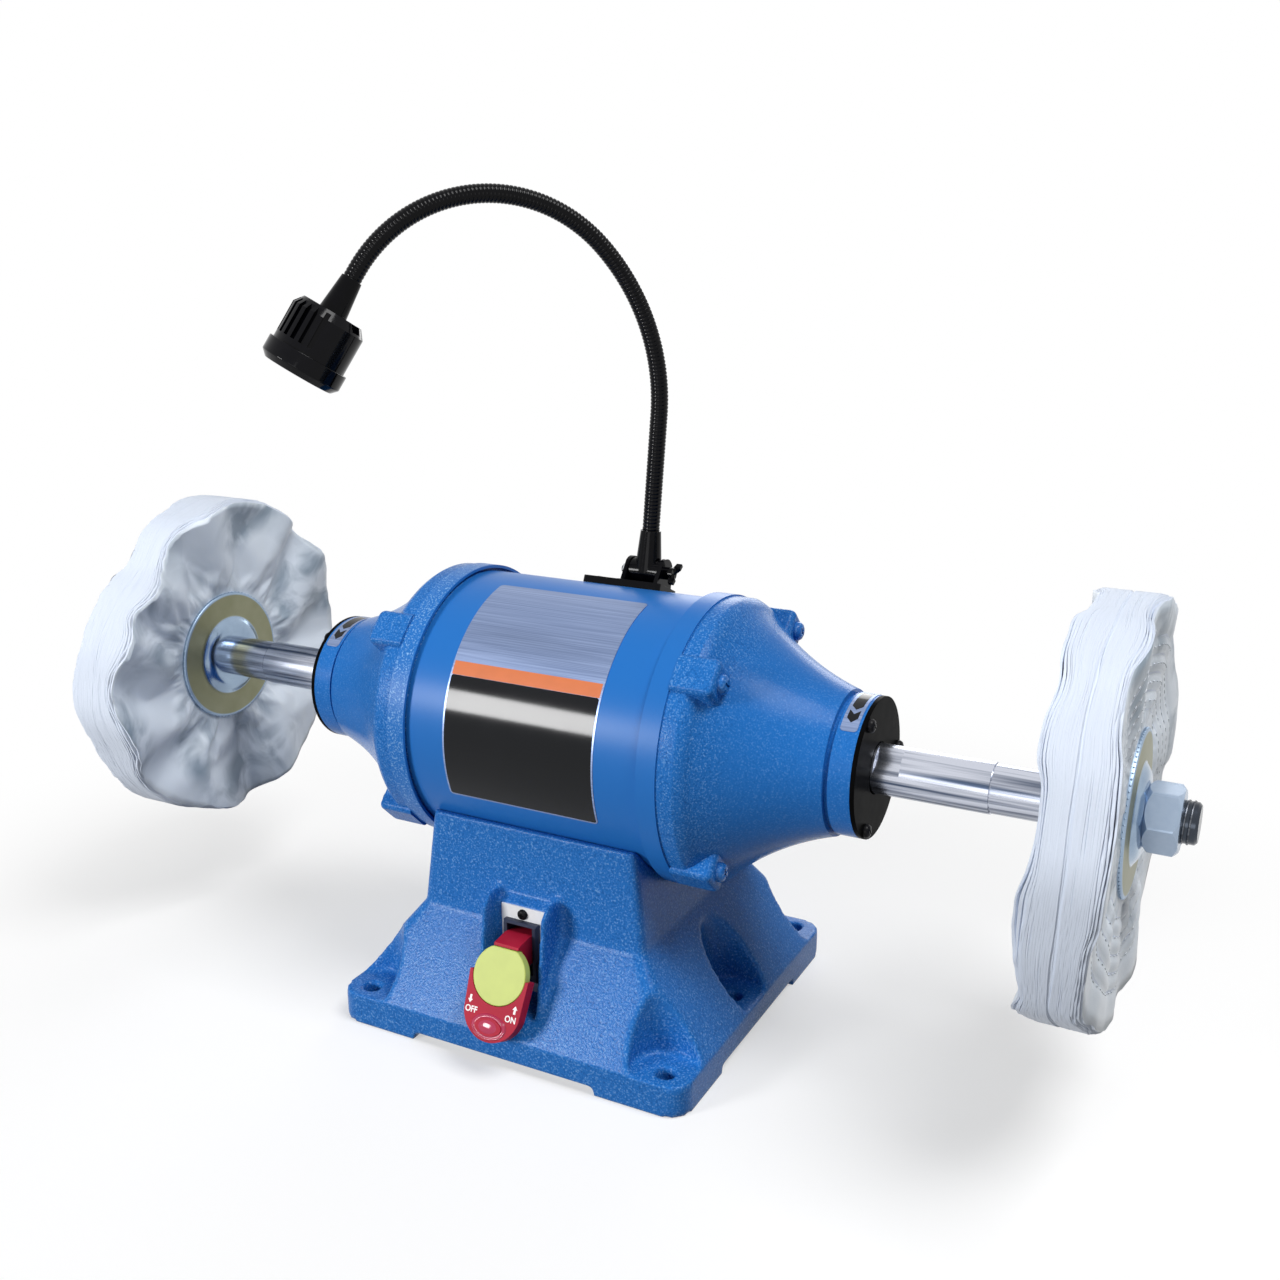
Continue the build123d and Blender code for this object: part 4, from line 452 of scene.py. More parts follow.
def moulded(name, colour, roughness, coat=0.0, shine=0.5):
    """Injection-moulded plastic: even colour with faint flow marks and a fine spark-eroded texture."""
    made, node, shader, place = finish(name)
    flow = node("TexNoise", Vector=place, Scale=per_metre(14.3), Detail=2.0)
    spark = node("TexNoise", Vector=place, Scale=per_metre(0.556), Detail=1.0)
    worn = [channel * 0.82 for channel in colour[:3]] + [1.0]
    tone = node("Mix", Factor=flow, A=colour, B=worn)
    bump = node("Bump", Height=spark, Strength=0.25, Distance=0.06 * MM)
    give(shader, Base_Color=tone, Roughness=roughness, Normal=bump, Specular_IOR_Level=shine)
    give(shader, Coat_Weight=coat, Coat_Roughness=0.08)
    return made


def lens_glass():
    """Clear moulded lens: a faint haze softens what lies behind it."""
    made, node, shader, place = finish("clear_polycarbonate")
    haze = node("TexNoise", Vector=place, Scale=per_metre(6.67))
    blur = node("MapRange", Value=haze, To_Min=0.02, To_Max=0.1)
    give(shader, Base_Color=linear("#E8EEF2"), Roughness=blur, IOR=1.58, Transmission_Weight=0.9)
    return made


# Shapes
def helper(name, data):
    """An object in the scene for some data."""
    made = bpy.data.objects.new(name, data)
    bpy.context.scene.collection.objects.link(made)
    return made


def new_piece(name, mesh, materials=(), body=None, replaces=()):
    """An object for a finished mesh, riding on its body and standing for the nodes that it replaces."""
    made = helper(name, mesh)
    for item in materials:
        mesh.materials.append(item)
    if body:
        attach(made, body)
    if replaces:
        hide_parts(*replaces)
    return made


def mesh_of(name, bm, sharp=None):
    """A mesh from a bmesh, smooth but for edges over an angle in degrees."""
    mesh = bpy.data.meshes.new(name)
    bm.to_mesh(mesh)
    bm.free()
    mesh.shade_smooth()
    if sharp is not None:
        mesh.set_sharp_from_angle(angle=math.radians(sharp))
    return mesh


def settled(name, carrier):
    """The evaluated shape of an object as a plain mesh. The object and its modifiers go."""
    graph = bpy.context.evaluated_depsgraph_get()
    mesh = bpy.data.meshes.new_from_object(carrier.evaluated_get(graph))
    mesh.name = name
    bpy.data.objects.remove(carrier)
    return mesh


def node_shape(name, tree, **values):
    """Run a geometry tree with these named inputs, and return its result as a plain mesh."""
    carrier = helper(name, bpy.data.meshes.new(name))
    modifier = carrier.modifiers.new(name, "NODES")
    modifier.node_group = tree
    for item in tree.interface.items_tree:
        if item.in_out == "INPUT":
            modifier[item.identifier] = values[item.name]
    return settled(name, carrier)


def geometry_tree(name, **inputs):
    """A geometry tree with named inputs, the way to add to it, and what it is given."""
    tree = bpy.data.node_groups.new(name, "GeometryNodeTree")
    tree.interface.new_socket("Geometry", in_out="OUTPUT", socket_type="NodeSocketGeometry")
    for label, kind in inputs.items():
        tree.interface.new_socket(label, in_out="INPUT", socket_type="NodeSocket" + kind)
    return tree, partial(add, tree), tree.nodes.new("NodeGroupInput").outputs


def end_tree(tree, shape, given):
    """Close a geometry tree: real meshes, smooth, with their material."""
    smooth = add(tree, "SetShadeSmooth", Geometry=shape)
    real = add(tree, "RealizeInstances", Geometry=smooth)
    done = add(tree, "SetMaterial", Geometry=real, Material=given["Material"])
    give(tree.nodes.new("NodeGroupOutput"), Geometry=done)
    return tree


def round_spindle(node, shape, place):
    """In a geometry tree, lay a shape that stands round Z round the spindle, at a place along it."""
    lift = node("CombineXYZ", X=place, Z=SHAFT_Z)
    return node("Transform", Geometry=shape, Rotation=(0, math.pi / 2, 0), Translation=lift)


def dress(material, *names):
    """Give CAD nodes a material."""
    for name in names:
        if not NODES[name].material_slots:
            NODES[name].data.materials.append(material)
        for slot in NODES[name].material_slots:
            slot.material = material


def merged(node):
    """The loose triangles of a CAD node's mesh as one joined bmesh."""
    bm = bmesh.new()
    bm.from_mesh(NODES[node].data)
    bmesh.ops.remove_doubles(bm, verts=bm.verts, dist=2e-6)
    return bm


def cast_copy(node, voxel, rounds, material, body):
    """A copy of a CAD node with every edge softened as sand casting does, standing for the node."""
    solid = helper(node, mesh_of(node, merged(node)))
    remesh = solid.modifiers.new("remesh", "REMESH")
    remesh.mode = "VOXEL"
    remesh.voxel_size = voxel
    remesh.use_smooth_shade = True
    soft = solid.modifiers.new("soft", "SMOOTH")
    soft.factor = 0.5
    soft.iterations = rounds
    return new_piece(node + "_cast", settled(node, solid), [material], body, replaces=[node])


def rounded(node, width, material, body, segments=2):
    """A merged copy of a CAD node with its sharp edges rounded by millimetres, standing for the node."""
    bm = merged(node)
    bmesh.ops.dissolve_limit(bm, angle_limit=math.radians(0.6), verts=bm.verts, edges=bm.edges)
    least = math.radians(28.0)
    sharp = [edge for edge in bm.edges if edge.is_manifold and edge.calc_face_angle(0) > least]
    bmesh.ops.bevel(
        bm, geom=sharp, offset=width * MM, segments=segments, profile=0.5, affect="EDGES", clamp_overlap=True,
        loop_slide=True, offset_type="OFFSET",
    )
    solid = helper(node, mesh_of(node, bm, 50.0))
    flat = solid.modifiers.new("flat", "WEIGHTED_NORMAL")
    flat.keep_sharp = True
    flat.weight = 100
    return new_piece(node + "_rounded", settled(node, solid), [material], body, replaces=[node])


def skin(bm, rows, closed=False):
    """Join rows of points, each a loop, by faces from row to row, and from last to first where closed."""
    for near, far in zip(rows, rows[1:] + rows[:1] if closed else rows[1:]):
        for i in range(len(near)):
            j = (i + 1) % len(near)
            bm.faces.new((near[i], far[i], far[j], near[j]))


def spun(name, sections, seat, way, sharp):
    """Closed sections of (radius, height) pairs, in millimetres, set round the spindle on a plane."""
    bm = bmesh.new()
    rows = []
    for i, section in enumerate(sections):
        angle = 360 * i / len(sections)
        points = [on_shaft(seat + way * height, radius, angle) for radius, height in section]
        rows.append([bm.verts.new(point) for point in points])
    skin(bm, rows, closed=True)
    bmesh.ops.recalc_face_normals(bm, faces=bm.faces)
    return mesh_of(name, bm, sharp)


def nut_section(angle):
    """Section of a hexagon nut at an angle from the top, with its corners turned off at both ends."""
    from_flat = abs((angle + 30) % 60 - 30)
    radius = min(NUT_FLAT_R / math.cos(math.radians(from_flat)), NUT_CORNER_R)
    ring = NUT_FLAT_R - NUT_RING
    inset = NUT_CHAMFER + radius - NUT_FLAT_R
    high = NUT_END - NUT_START
    return (ARBOR_R, 0), (ring, 0), (radius, inset), (radius, high - inset), (ring, high), (ARBOR_R, high)


def on_shaft(x, radius, angle):
    """Point round the spindle, in metres: the angle runs from the top towards the front, in degrees."""
    turn = math.radians(angle)
    return Vector((x * MM, -radius * MM * math.sin(turn), SHAFT_Z + radius * MM * math.cos(turn)))


def rounded_outline(low, high, radius, steps=5):
    """Rectangle with rounded corners as a list of points."""
    left, right = low[0] + radius, high[0] - radius
    bottom, top = low[1] + radius, high[1] - radius
    points = []
    for x, y, start in ((right, top, 0), (left, top, 90), (left, bottom, 180), (right, bottom, 270)):
        for i in range(steps + 1):
            turn = math.radians(start + 90 * i / steps)
            points.append((x + radius * math.cos(turn), y + radius * math.sin(turn)))
    return points


def wrap(bm, outline, radius, thickness, slot):
    """Add a thin plate that is bent round the spindle: outline points are (x, arc length) in millimetres."""
    step = math.radians(3.0) * radius
    flat = bmesh.new()
    flat.faces.new([flat.verts.new((x, s, 0)) for x, s in outline])
    arcs = [s for _, s in outline]
    for i in range(int((max(arcs) - min(arcs)) / step)):
        cut = min(arcs) + (i + 1) * step
        geometry = flat.verts[:] + flat.edges[:] + flat.faces[:]
        bmesh.ops.bisect_plane(flat, geom=geometry, plane_co=(0, cut, 0), plane_no=(0, 1, 0), dist=1e-4)
    for item in bmesh.ops.extrude_face_region(flat, geom=flat.faces[:])["geom"]:
        if isinstance(item, bmesh.types.BMVert):
            item.co.z = thickness
    bmesh.ops.recalc_face_normals(flat, faces=flat.faces)
    made = {}
    for vert in flat.verts:
        made[vert] = bm.verts.new(on_shaft(vert.co.x, radius + vert.co.z, math.degrees(vert.co.y / radius)))
    for face in flat.faces:
        bm.faces.new([made[vert] for vert in face.verts]).material_index = slot
    flat.free()


# Stage
def seen_white(node):
    """One for a ray that should see the plain white ground: from the camera, a mirror or through glass."""
    seen = node("LightPath", take="Is_Camera_Ray")
    rays = seen.node.outputs
    for ray in ("Is Glossy Ray", "Is Transmission Ray"):
        seen = node("Math", seen, rays[ray], operation="MAXIMUM")
    return seen


class BUFFER_OT_stage(bpy.types.Operator):
    """White floor and surroundings, soft lights and the photograph's camera"""

    bl_idname = "buffer.stage"
    bl_label = "Stage"

    floor_size: FloatProperty(name="Floor size", description="Side of the floor", default=14.0, unit="LENGTH")
    ambient: FloatProperty(name="Ambient", description="Light from all round", default=0.06, min=0.0)
    shadow: FloatProperty(name="Shadow", description="How much of it the floor shows", default=0.5, min=0.0)
    shadow_reach: length("Shadow reach", "How far from the object the floor still shows it", 750.0)

    def execute(self, context):
        scene = context.scene
        scene.view_settings.view_transform = "Standard"
        world = bpy.data.worlds.new("white_surroundings")
        world.use_nodes = True
        node = partial(add, world.node_tree)
        strength = node("MapRange", Value=seen_white(node), To_Min=self.ambient, To_Max=1.0)
        give(world.node_tree.nodes["Background"], Color=WHITE, Strength=strength)
        scene.world = world
        half = self.floor_size / 2
        bm = bmesh.new()
        corners = ((-half, -half), (half, -half), (half, half), (-half, half))
        bm.faces.new([bm.verts.new((*corner, -FLOOR_DROP * MM)) for corner in corners])
        floor = helper("floor", mesh_of("floor", bm))
        floor.data.materials.append(self.floor_paint())
        for name, (place, size, power) in LIGHTS.items():
            light = bpy.data.lights.new(name, "AREA")
            light.shape = "SQUARE"
            light.size = size
            light.energy = power
            softbox = helper(name, light)
            softbox.location = place
            softbox.rotation_euler = (Vector(LIGHT_AIM) - Vector(place)).to_track_quat("-Z", "Y").to_euler()
        camera = bpy.data.cameras.new("camera")
        camera.lens = CAMERA_LENS
        camera.sensor_width = SENSOR_WIDTH
        eye = helper("camera", camera)
        eye.location = CAMERA_PLACE
        eye.rotation_euler = (math.radians(90 + CAMERA_PITCH), 0, math.radians(CAMERA_YAW))
        scene.camera = eye
        return {"FINISHED"}

    def floor_paint(self):
        """Matt white paper: lit as paper is, and paler to the eye so that only the shadow shows."""
        made, node, shader, place = finish("white_paper")
        fibre = node("TexNoise", Vector=place, Scale=per_metre(2.5))
        seen = seen_white(node)
        tone = node("Mix", Factor=fibre, A=linear("#686868"), B=linear("#6E6E6E"))
        tone = node("Mix", Factor=seen, A=tone, B=WHITE)
        give(shader, Base_Color=tone, Roughness=0.9)
        glow = node("Emission", Strength=1.0)
        far = node("VectorMath", place, operation="LENGTH")
        white = node(
            "MapRange", Value=far, From_Min=SHADOW_START * MM, From_Max=self.shadow_reach,
            To_Min=1.0 - self.shadow, To_Max=1.0, interpolation_type="SMOOTHSTEP",
        )
        share = node("Math", white, seen, operation="MULTIPLY")
        mixed = node("MixShader", share, shader.outputs["BSDF"], glow)
        give(made.node_tree.nodes["Material Output"], Surface=mixed)
        return made


class BUFFER_OT_castings(bpy.types.Operator):
    """Pedestal and end bells, with their cast edges rounded"""

    bl_idname = "buffer.castings"
    bl_label = "Castings"

    def execute(self, context):
        colours = context.scene.buffer_colours
        hammertone = cast_enamel("hammertone_on_cast_iron", colours, 1.35, 0.22, 0.11)
        cast_copy("base_casting", context.scene.buffer_sizes.cast_voxel, 3, hammertone, "frame")
        bell = cast_enamel("fine_enamel_on_cast_bell", colours, 1.2, 0.2, 0.08, turned_from=128.0)
        for name in SIDES:
            rounded("end_bell_" + name, 0.8, bell, "frame")
        return {"FINISHED"}


class BUFFER_OT_motor(bpy.types.Operator):
    """Motor tube, bearing caps and the pieces inside the motor"""

    bl_idname = "buffer.motor"
    bl_label = "Motor"

    def execute(self, context):
        dress(tube_enamel(context.scene.buffer_colours), "motor_tube")
        gloss = black_gloss("black_stoving_enamel", "#0A0A0A", 0.3, 9.0, shine=0.006)
        for name in SIDES:
            rounded("bearing_cap_" + name, 0.6, gloss, "frame")
        steel = metal("ground_bearing_steel", "#B9BCC2", "#8F9298", 0.2, 0.3)
        rings = [f"bearing_{ring}_ring_{name}" for ring in ("inner", "outer") for name in SIDES]
        dress(steel, *rings, "preload_washer")
        dress(metal("lamination_steel", "#6E7074", "#54565A", 0.5, 0.5), "stator_core", "rotor_core")
        dress(metal("cast_rotor_aluminium", "#B4B6B8", "#8E9092", 0.45, 0.8), "rotor_end_rings")
        dress(metal("zinc_sheet_steel", "#A7ABAE", "#7F8386", 0.4, 0.8), "bottom_cover", "capacitor_clamp")
        dress(moulded("varnished_copper_winding", linear("#A4542A"), 0.35, 0.5), "stator_windings")
        phenolic = moulded("phenolic_moulding", linear("#2A211C"), 0.5)
        dress(phenolic, "start_switch", "centrifugal_actuator", "start_capacitor")
        return {"FINISHED"}


class BUFFER_OT_plates(bpy.types.Operator):
    """Bare nameplate on the tube and a rotation tag on each collar"""

    bl_idname = "buffer.plates"
    bl_label = "Plates"

    def execute(self, context):
        thick = context.scene.buffer_sizes.plate / MM
        # Brushed aluminium: long fine strokes along the plate spread the highlight sideways
        silver = metal(
            "brushed_aluminium", "#52658C", "#A6B7DA", 0.4, 0.667, run=83.3, seat=0.0, band=(0.0, 1.0),
            gloss=(0.7, 1.25), relief=(0.3, 0.04),
        )
        black = black_gloss("black_printed_film", "#080B10", 0.11, 30.0, 0.03, 0.22)
        orange = moulded("orange_printed_band", context.scene.buffer_colours.band, 0.35)
        left, right = PLATE_SPAN
        low, high, band_low, band_high = (math.radians(a) * TUBE_R for a in (*PLATE_ANGLES, *PLATE_BAND))
        plate = rounded_outline((left, low), (right, high), PLATE_CORNER)
        left, right = left + PLATE_MARGIN, right - PLATE_MARGIN
        band = rounded_outline((left, band_low), (right, band_high), BAND_CORNER)
        field = rounded_outline((left, band_high + BAND_GAP), (right, high - PLATE_MARGIN), FIELD_CORNER)
        bm = bmesh.new()
        wrap(bm, plate, TUBE_R, thick, 0)
        wrap(bm, band, TUBE_R, thick + FILM, 1)
        wrap(bm, field, TUBE_R, thick + FILM, 2)
        new_piece("nameplate", mesh_of("nameplate", bm, 30.0), [silver, orange, black], "frame")
        low, high = (math.radians(angle) * COLLAR_R for angle in TAG_ANGLES)
        wide = point = TAG_ARROW_HALF
        for name, side in SIDES.items():
            bm = bmesh.new()
            middle = side * COLLAR_MIDDLE
            tag = rounded_outline((middle - TAG_HALF, low), (middle + TAG_HALF, high), TAG_CORNER)
            wrap(bm, tag, COLLAR_R, TAG_THICKNESS, 0)
            for back, run in TAG_ARROWS:
                tail = high - back
                tip = tail + run
                arrow = [(-wide, tail), (0, tail + point), (wide, tail)]
                arrow += [(wide, tip), (0, tip + point), (-wide, tip)]
                wrap(bm, [(middle + x, s) for x, s in arrow], COLLAR_R, TAG_THICKNESS + FILM, 1)
            new_piece(f"rotation_tag_{name}", mesh_of("rotation_tag", bm, 30.0), [silver, black], "frame")
        return {"FINISHED"}


# Screws
def cross_head(radius, height):
    """Pan head with a cross recess, seated at z = 0, and a short shank below it."""
    bm = bmesh.new()
    verts = [bm.verts.new((r * radius, 0, z * height)) for r, z in HEAD_PROFILE]
    edges = [bm.edges.new(pair) for pair in zip(verts, verts[1:])]
    bmesh.ops.spin(bm, geom=verts + edges, axis=(0, 0, 1), angle=math.tau, steps=20)
    bmesh.ops.remove_doubles(bm, verts=bm.verts, dist=1e-7)
    bmesh.ops.recalc_face_normals(bm, faces=bm.faces)
    head = helper("head", mesh_of("head", bm))
    cutter = bmesh.new()
    for turn in (0, 90):
        place = Matrix.Translation((0, 0, height)) @ Matrix.Rotation(math.radians(turn), 4, "Z")
        size = Matrix.Diagonal((RECESS_RUN * radius, RECESS_WIDTH * radius, height, 1.0))
        bmesh.ops.create_cube(cutter, size=1.0, matrix=place @ size)
    recess = helper("recess", mesh_of("recess", cutter))
    cut = head.modifiers.new("cut", "BOOLEAN")
    cut.object = recess
    cut.solver = "EXACT"
    cut.use_self = True
    mesh = settled("head", head)
    bpy.data.objects.remove(recess)
    mesh.set_sharp_from_angle(angle=math.radians(35))
    return helper("head", mesh)


def screw_tree():
    """Screws on points: each point has the direction of its screw and the turn of its cross."""
    tree, node, given = geometry_tree("screw_set", Points="Object", Head="Object", Material="Material")
    points = node("ObjectInfo", Object=given["Points"], take="Geometry")
    head = node("ObjectInfo", Object=given["Head"], take="Geometry")
    axis = node("InputNamedAttribute", Name="axis", data_type="FLOAT_VECTOR")
    turn = node("InputNamedAttribute", Name="turn", data_type="FLOAT")
    upright = node("AlignRotationToVector", Vector=axis, axis="Z")
    twist = node("AxisAngleToRotation", Axis=(0, 0, 1), Angle=turn)
    turned = node("RotateRotation", Rotation=upright, Rotate_By=twist, rotation_space="LOCAL")
    seats = node("MeshToPoints", Mesh=points)
    return end_tree(tree, node("InstanceOnPoints", Points=seats, Instance=head, Rotation=turned), given)


class BUFFER_OT_screws(bpy.types.Operator):
    """Cross-headed screws of the bells, caps, switch plate and lamp bracket"""

    bl_idname = "buffer.screws"
    bl_label = "Screws"

    seed: IntProperty(name="Seed", description="Picks how far each screw was driven round", default=4)

    def execute(self, context):
        rng = np.random.default_rng(self.seed)
        tree = screw_tree()
        blue = cast_enamel("enamel_over_screw", context.scene.buffer_colours, 1.6, 0.1, 0.2)
        black = black_gloss("black_oxide_screw", "#121215", 0.3, 3.0)
        out = (math.cos(math.radians(BRACKET_ANGLE)), math.sin(math.radians(BRACKET_ANGLE)))
        reach = (TUBE_R + BRACKET_THICKNESS) * MM
        plate = [((0, PLATE_SCREW[0] * MM, z * MM), (0, -1, 0)) for z in PLATE_SCREW_HEIGHTS]
        bracket = [((x * MM, reach * out[0], SHAFT_Z + reach * out[1]), (0, *out)) for x in BRACKET_SCREW_X]
        sets = {
            "end_bell_screws": (self.round_the_shaft(LUG_ANGLES, *BELL_SCREW[:2]), BELL_SCREW[2:], blue),
            "bearing_cap_screws": (self.round_the_shaft(CAP_ANGLES, *CAP_SCREW[:2]), CAP_SCREW[2:], black),
            "switch_plate_screws": (plate, PLATE_SCREW[1:], black),
            "lamp_bracket_screws": (bracket, BRACKET_SCREW, black),
        }
        for name, (seats, size, material) in sets.items():
            points = bpy.data.meshes.new(name + "_seats")
            points.from_pydata([place for place, _ in seats], [], [])
            axis = points.attributes.new("axis", "FLOAT_VECTOR", "POINT")
            axis.data.foreach_set("vector", [c for _, way in seats for c in way])
            turn = points.attributes.new("turn", "FLOAT", "POINT")
            turn.data.foreach_set("value", rng.uniform(0, math.pi / 2, len(seats)).tolist())
            source = helper(name + "_seats", points)
            head = cross_head(*(value * MM for value in size))
            mesh = node_shape(name, tree, Points=source, Head=head, Material=material)
            bpy.data.objects.remove(source)
            bpy.data.objects.remove(head)
            new_piece(name + "_crossed", mesh, body="frame", replaces=[name])
        zinc = metal("bright_zinc_screw", "#C4C7CB", "#93979C", 0.3, 0.4)
        dress(zinc, "bottom_cover_screws", "saddle_screws", "pivot_nut", "switch_pivot_pin")
        return {"FINISHED"}

    @staticmethod
    def round_the_shaft(angles, radius, seat):
        """Seats on both ends of the motor, with their directions."""
        seats = []
        for side in SIDES.values():
            for angle in angles:
                y = radius * MM * math.cos(math.radians(angle))
                up = radius * MM * math.sin(math.radians(angle))
                seats.append(((side * seat * MM, y, SHAFT_Z + up), (side, 0, 0)))
        return seats


class BUFFER_OT_spindle(bpy.types.Operator):
    """Turned spindle, its threaded ends, nuts and dished flanges"""

    bl_idname = "buffer.spindle"
    bl_label = "Spindle"

    thread_pitch: length("Thread pitch", "Rise of the thread in a turn", 3.175)
    teeth: IntProperty(name="Teeth", description="Serrations round a flange", default=84, min=8)

    def execute(self, context):
        # Polished steel with strong dark streaks, which are painted reflections
        dress(metal("polished_spindle_steel", "#CDD1DD", "#455268", 0.2, 3.9, oiled_from=NUT_END), "spindle")
        dark = metal("dark_rolled_thread", "#6C6F75", "#3A3C42", 0.3, 2.0)
        # Bright zinc plate: pale blue-grey crystals that blur what they mirror
        bright = metal(
            "bright_zinc_plate", "#A3B6CE", "#B4C5DA", 0.2, 4.0, run=4.0, seat=0.0, detail=2.0,
            band=(0.0, 1.0), gloss=(0.9, 1.5), relief=(0.1, 0.05), metallic=0.55,
        )
        zinc = zinc_flange()
        thread_tree = self.thread_tree()
        tooth_tree = self.tooth_tree()
        for name, side in SIDES.items():
            nut = f"spindle_nut_{name}"
            mesh = spun(nut, [nut_section(angle) for angle in range(0, 360, 3)], side * NUT_START, side, 10.0)
            new_piece(nut + "_turned", mesh, [bright], "spindle", [nut])
            mesh = node_shape(
                "thread", thread_tree, Pitch=self.thread_pitch, Radius=ARBOR_R * MM,
                Start=side * THREAD_START * MM, Length=side * THREAD_RUN * MM, Material=dark,
            )
            new_piece(f"spindle_thread_{name}", mesh, body="spindle")
            for place, out in (("inner", -1), ("outer", 1)):
                flange = f"wheel_flange_{name}_{place}"
                seat = side * (WHEEL_MIDDLE + out * PACK_HUB)
                mesh = spun(flange, [FLANGE_PROFILE] * FLANGE_STEPS, seat, side * out, 45.0)
                new_piece(flange + "_pressed", mesh, [zinc], "spindle", [flange])
                rim = (seat + side * out * FLANGE_THICKNESS / 2) * MM
                mesh = node_shape(
                    "serration", tooth_tree, Teeth=self.teeth, Radius=CLAMP_R * MM, Place=rim, Material=zinc,
                )
                new_piece(f"flange_serration_{name}_{place}", mesh, body="spindle")
        return {"FINISHED"}

    @staticmethod
    def thread_tree():
        """Helical ridge round a spindle end."""
        tree, node, given = geometry_tree(
            "spindle_thread", Pitch="Float", Radius="Float", Start="Float", Length="Float",
            Material="Material",
        )
        run, radius = given["Length"], given["Radius"]
        turns = node("Math", node("Math", run, operation="ABSOLUTE"), given["Pitch"], operation="DIVIDE")
        helix = node(
            "CurveSpiral", Resolution=28, Rotations=turns, Start_Radius=radius, End_Radius=radius, Height=run,
        )
        laid = round_spindle(node, helix, given["Start"])
        ridge = node("CurvePrimitiveCircle", Resolution=6, Radius=THREAD_RIDGE * MM)
        return end_tree(tree, node("CurveToMesh", Curve=laid, Profile_Curve=ridge, Fill_Caps=True), given)

    @staticmethod
    def tooth_tree():
        """Small teeth round the rim of a flange."""
        tree, node, given = geometry_tree(
            "flange_serration", Teeth="Int", Radius="Float", Place="Float", Material="Material",
        )
        circle = node("MeshCircle", Vertices=given["Teeth"], Radius=given["Radius"])
        laid = round_spindle(node, circle, given["Place"])
        tooth = node("MeshUVSphere", Segments=8, Rings=4, Radius=TOOTH_R * MM)
        teeth = node("InstanceOnPoints", Points=laid, Instance=tooth, Scale=(1.2, 1.0, 1.0))
        return end_tree(tree, teeth, given)


# Wheels
def ripples(rng, angle, low, high, count):
    """A few ripples round the wheel, each with a whole number of waves, so that the ends meet."""
    total = np.zeros_like(angle)
    for waves in rng.integers(low, high + 1, count):
        total += rng.uniform(0.6, 1.0) * np.cos(waves * angle + rng.uniform(0, math.tau))
    return total / math.sqrt(count)


def draped(seed, radius, fullness):
    """A cloth disc that the flanges hold and that is cut too full, simulated until it buckles.

    Returns the angles round it, and how far it moved sideways in millimetres: by ring, from the flange to
    the rim, and by angle.
    """
    rings, around, frames = 22, 180, 24
    angle = np.linspace(0, math.tau, around, endpoint=False)
    rng = np.random.default_rng(seed)
    start = 0.8 * MM * ripples(rng, angle, 3, 10, 8) * (0.5 + 0.5 * ripples(rng, angle, 1, 3, 3))
    bm = bmesh.new()
    rows = []
    for grow in np.linspace(0, 1, rings):
        r = (CLAMP_R + grow * (radius - CLAMP_R)) * MM
        points = [(r * math.cos(a), r * math.sin(a), z) for a, z in zip(angle, start * grow)]
        rows.append([bm.verts.new(point) for point in points])
    skin(bm, rows)
    disc = helper("disc", mesh_of("disc", bm))
    disc.vertex_groups.new(name="held").add(list(range(2 * around)), 1.0, "REPLACE")
    cloth = disc.modifiers.new("cloth", "CLOTH")
    cloth.settings.quality = 6
    cloth.settings.mass = 0.2
    cloth.settings.bending_stiffness = CLOTH_STIFFNESS
    cloth.settings.shrink_min = -fullness
    cloth.settings.vertex_group_mass = "held"
    cloth.settings.effector_weights.gravity = 0.0
    cloth.collision_settings.use_collision = False
    cloth.point_cache.frame_end = frames
    for number in range(1, frames + 1):
        bpy.context.scene.frame_set(number)
    mesh = settled("disc", disc)
    bpy.context.scene.frame_set(1)
    return angle, np.array([vert.co.z for vert in mesh.vertices]).reshape(rings, around) / MM


def hump(angle, middle, spread):
    """A smooth rise round the wheel: 1 at its middle, with its middle and spread in degrees."""
    away = (np.degrees(angle) - middle + 180) % 360 - 180
    return np.exp(-(away / spread) ** 2)


class Wheel:
    """The cloth of one wheel: how its plies lie at each angle round it, on the way out to the rim."""

    def __init__(self, name, angle, sizes, seed):
        self.side = SIDES[name]
        self.form = WHEEL_FORMS[name]
        self.radius = sizes.wheel_radius / MM + self.form["wider"]
        self.angle = angle
        self.sizes = sizes
        self.flat = self.form["flat"] * hump(angle, *FLAT_PLACE)
        self.lean = self.form["lean"] * hump(angle, *LEAN_PLACE)
        rng = np.random.default_rng(seed)
        self.wave = ripples(rng, angle, 2, 6, 4) + 0.5 * ripples(rng, angle, 9, 17, 4)
        self.scallop = ripples(rng, angle, 3, 9, 4) + 0.6 * ripples(rng, angle, 10, 16, 3)

    def hang(self, seed, height, fullness):
        """Folds of one pack's face, from the simulated cloth, no higher than the height."""
        around, heights = draped(seed, self.radius, fullness)
        heights = heights - heights.mean(axis=1, keepdims=True)
        capped = height * np.tanh(heights / height)
        return np.array([np.interp(self.angle, around, row, period=math.tau) for row in capped])

    def grow(self, r):
        """0 at the flange's edge, 1 at the rim."""
        return np.clip((r - CLAMP_R) / (self.radius - CLAMP_R), 0, 1)

    def middle(self, grow):
        """Sideways wave of the line between the packs."""
        return self.sizes.rim_wave / MM * 0.6 * grow ** 2 * self.wave

    @staticmethod
    def read(folds, grow):
        """Height of the folds at a way out for each angle."""
        rows = grow * (len(folds) - 1)
        low = np.minimum(rows.astype(int), len(folds) - 2)
        columns = np.arange(folds.shape[1])
        return folds[low, columns] + (folds[low + 1, columns] - folds[low, columns]) * (rows - low)

    def swell(self, grow):
        """Thickness of a pack on the way out."""
        return PACK_HUB + (self.form["rim"] - PACK_HUB) * np.sin(grow * math.pi / 2)


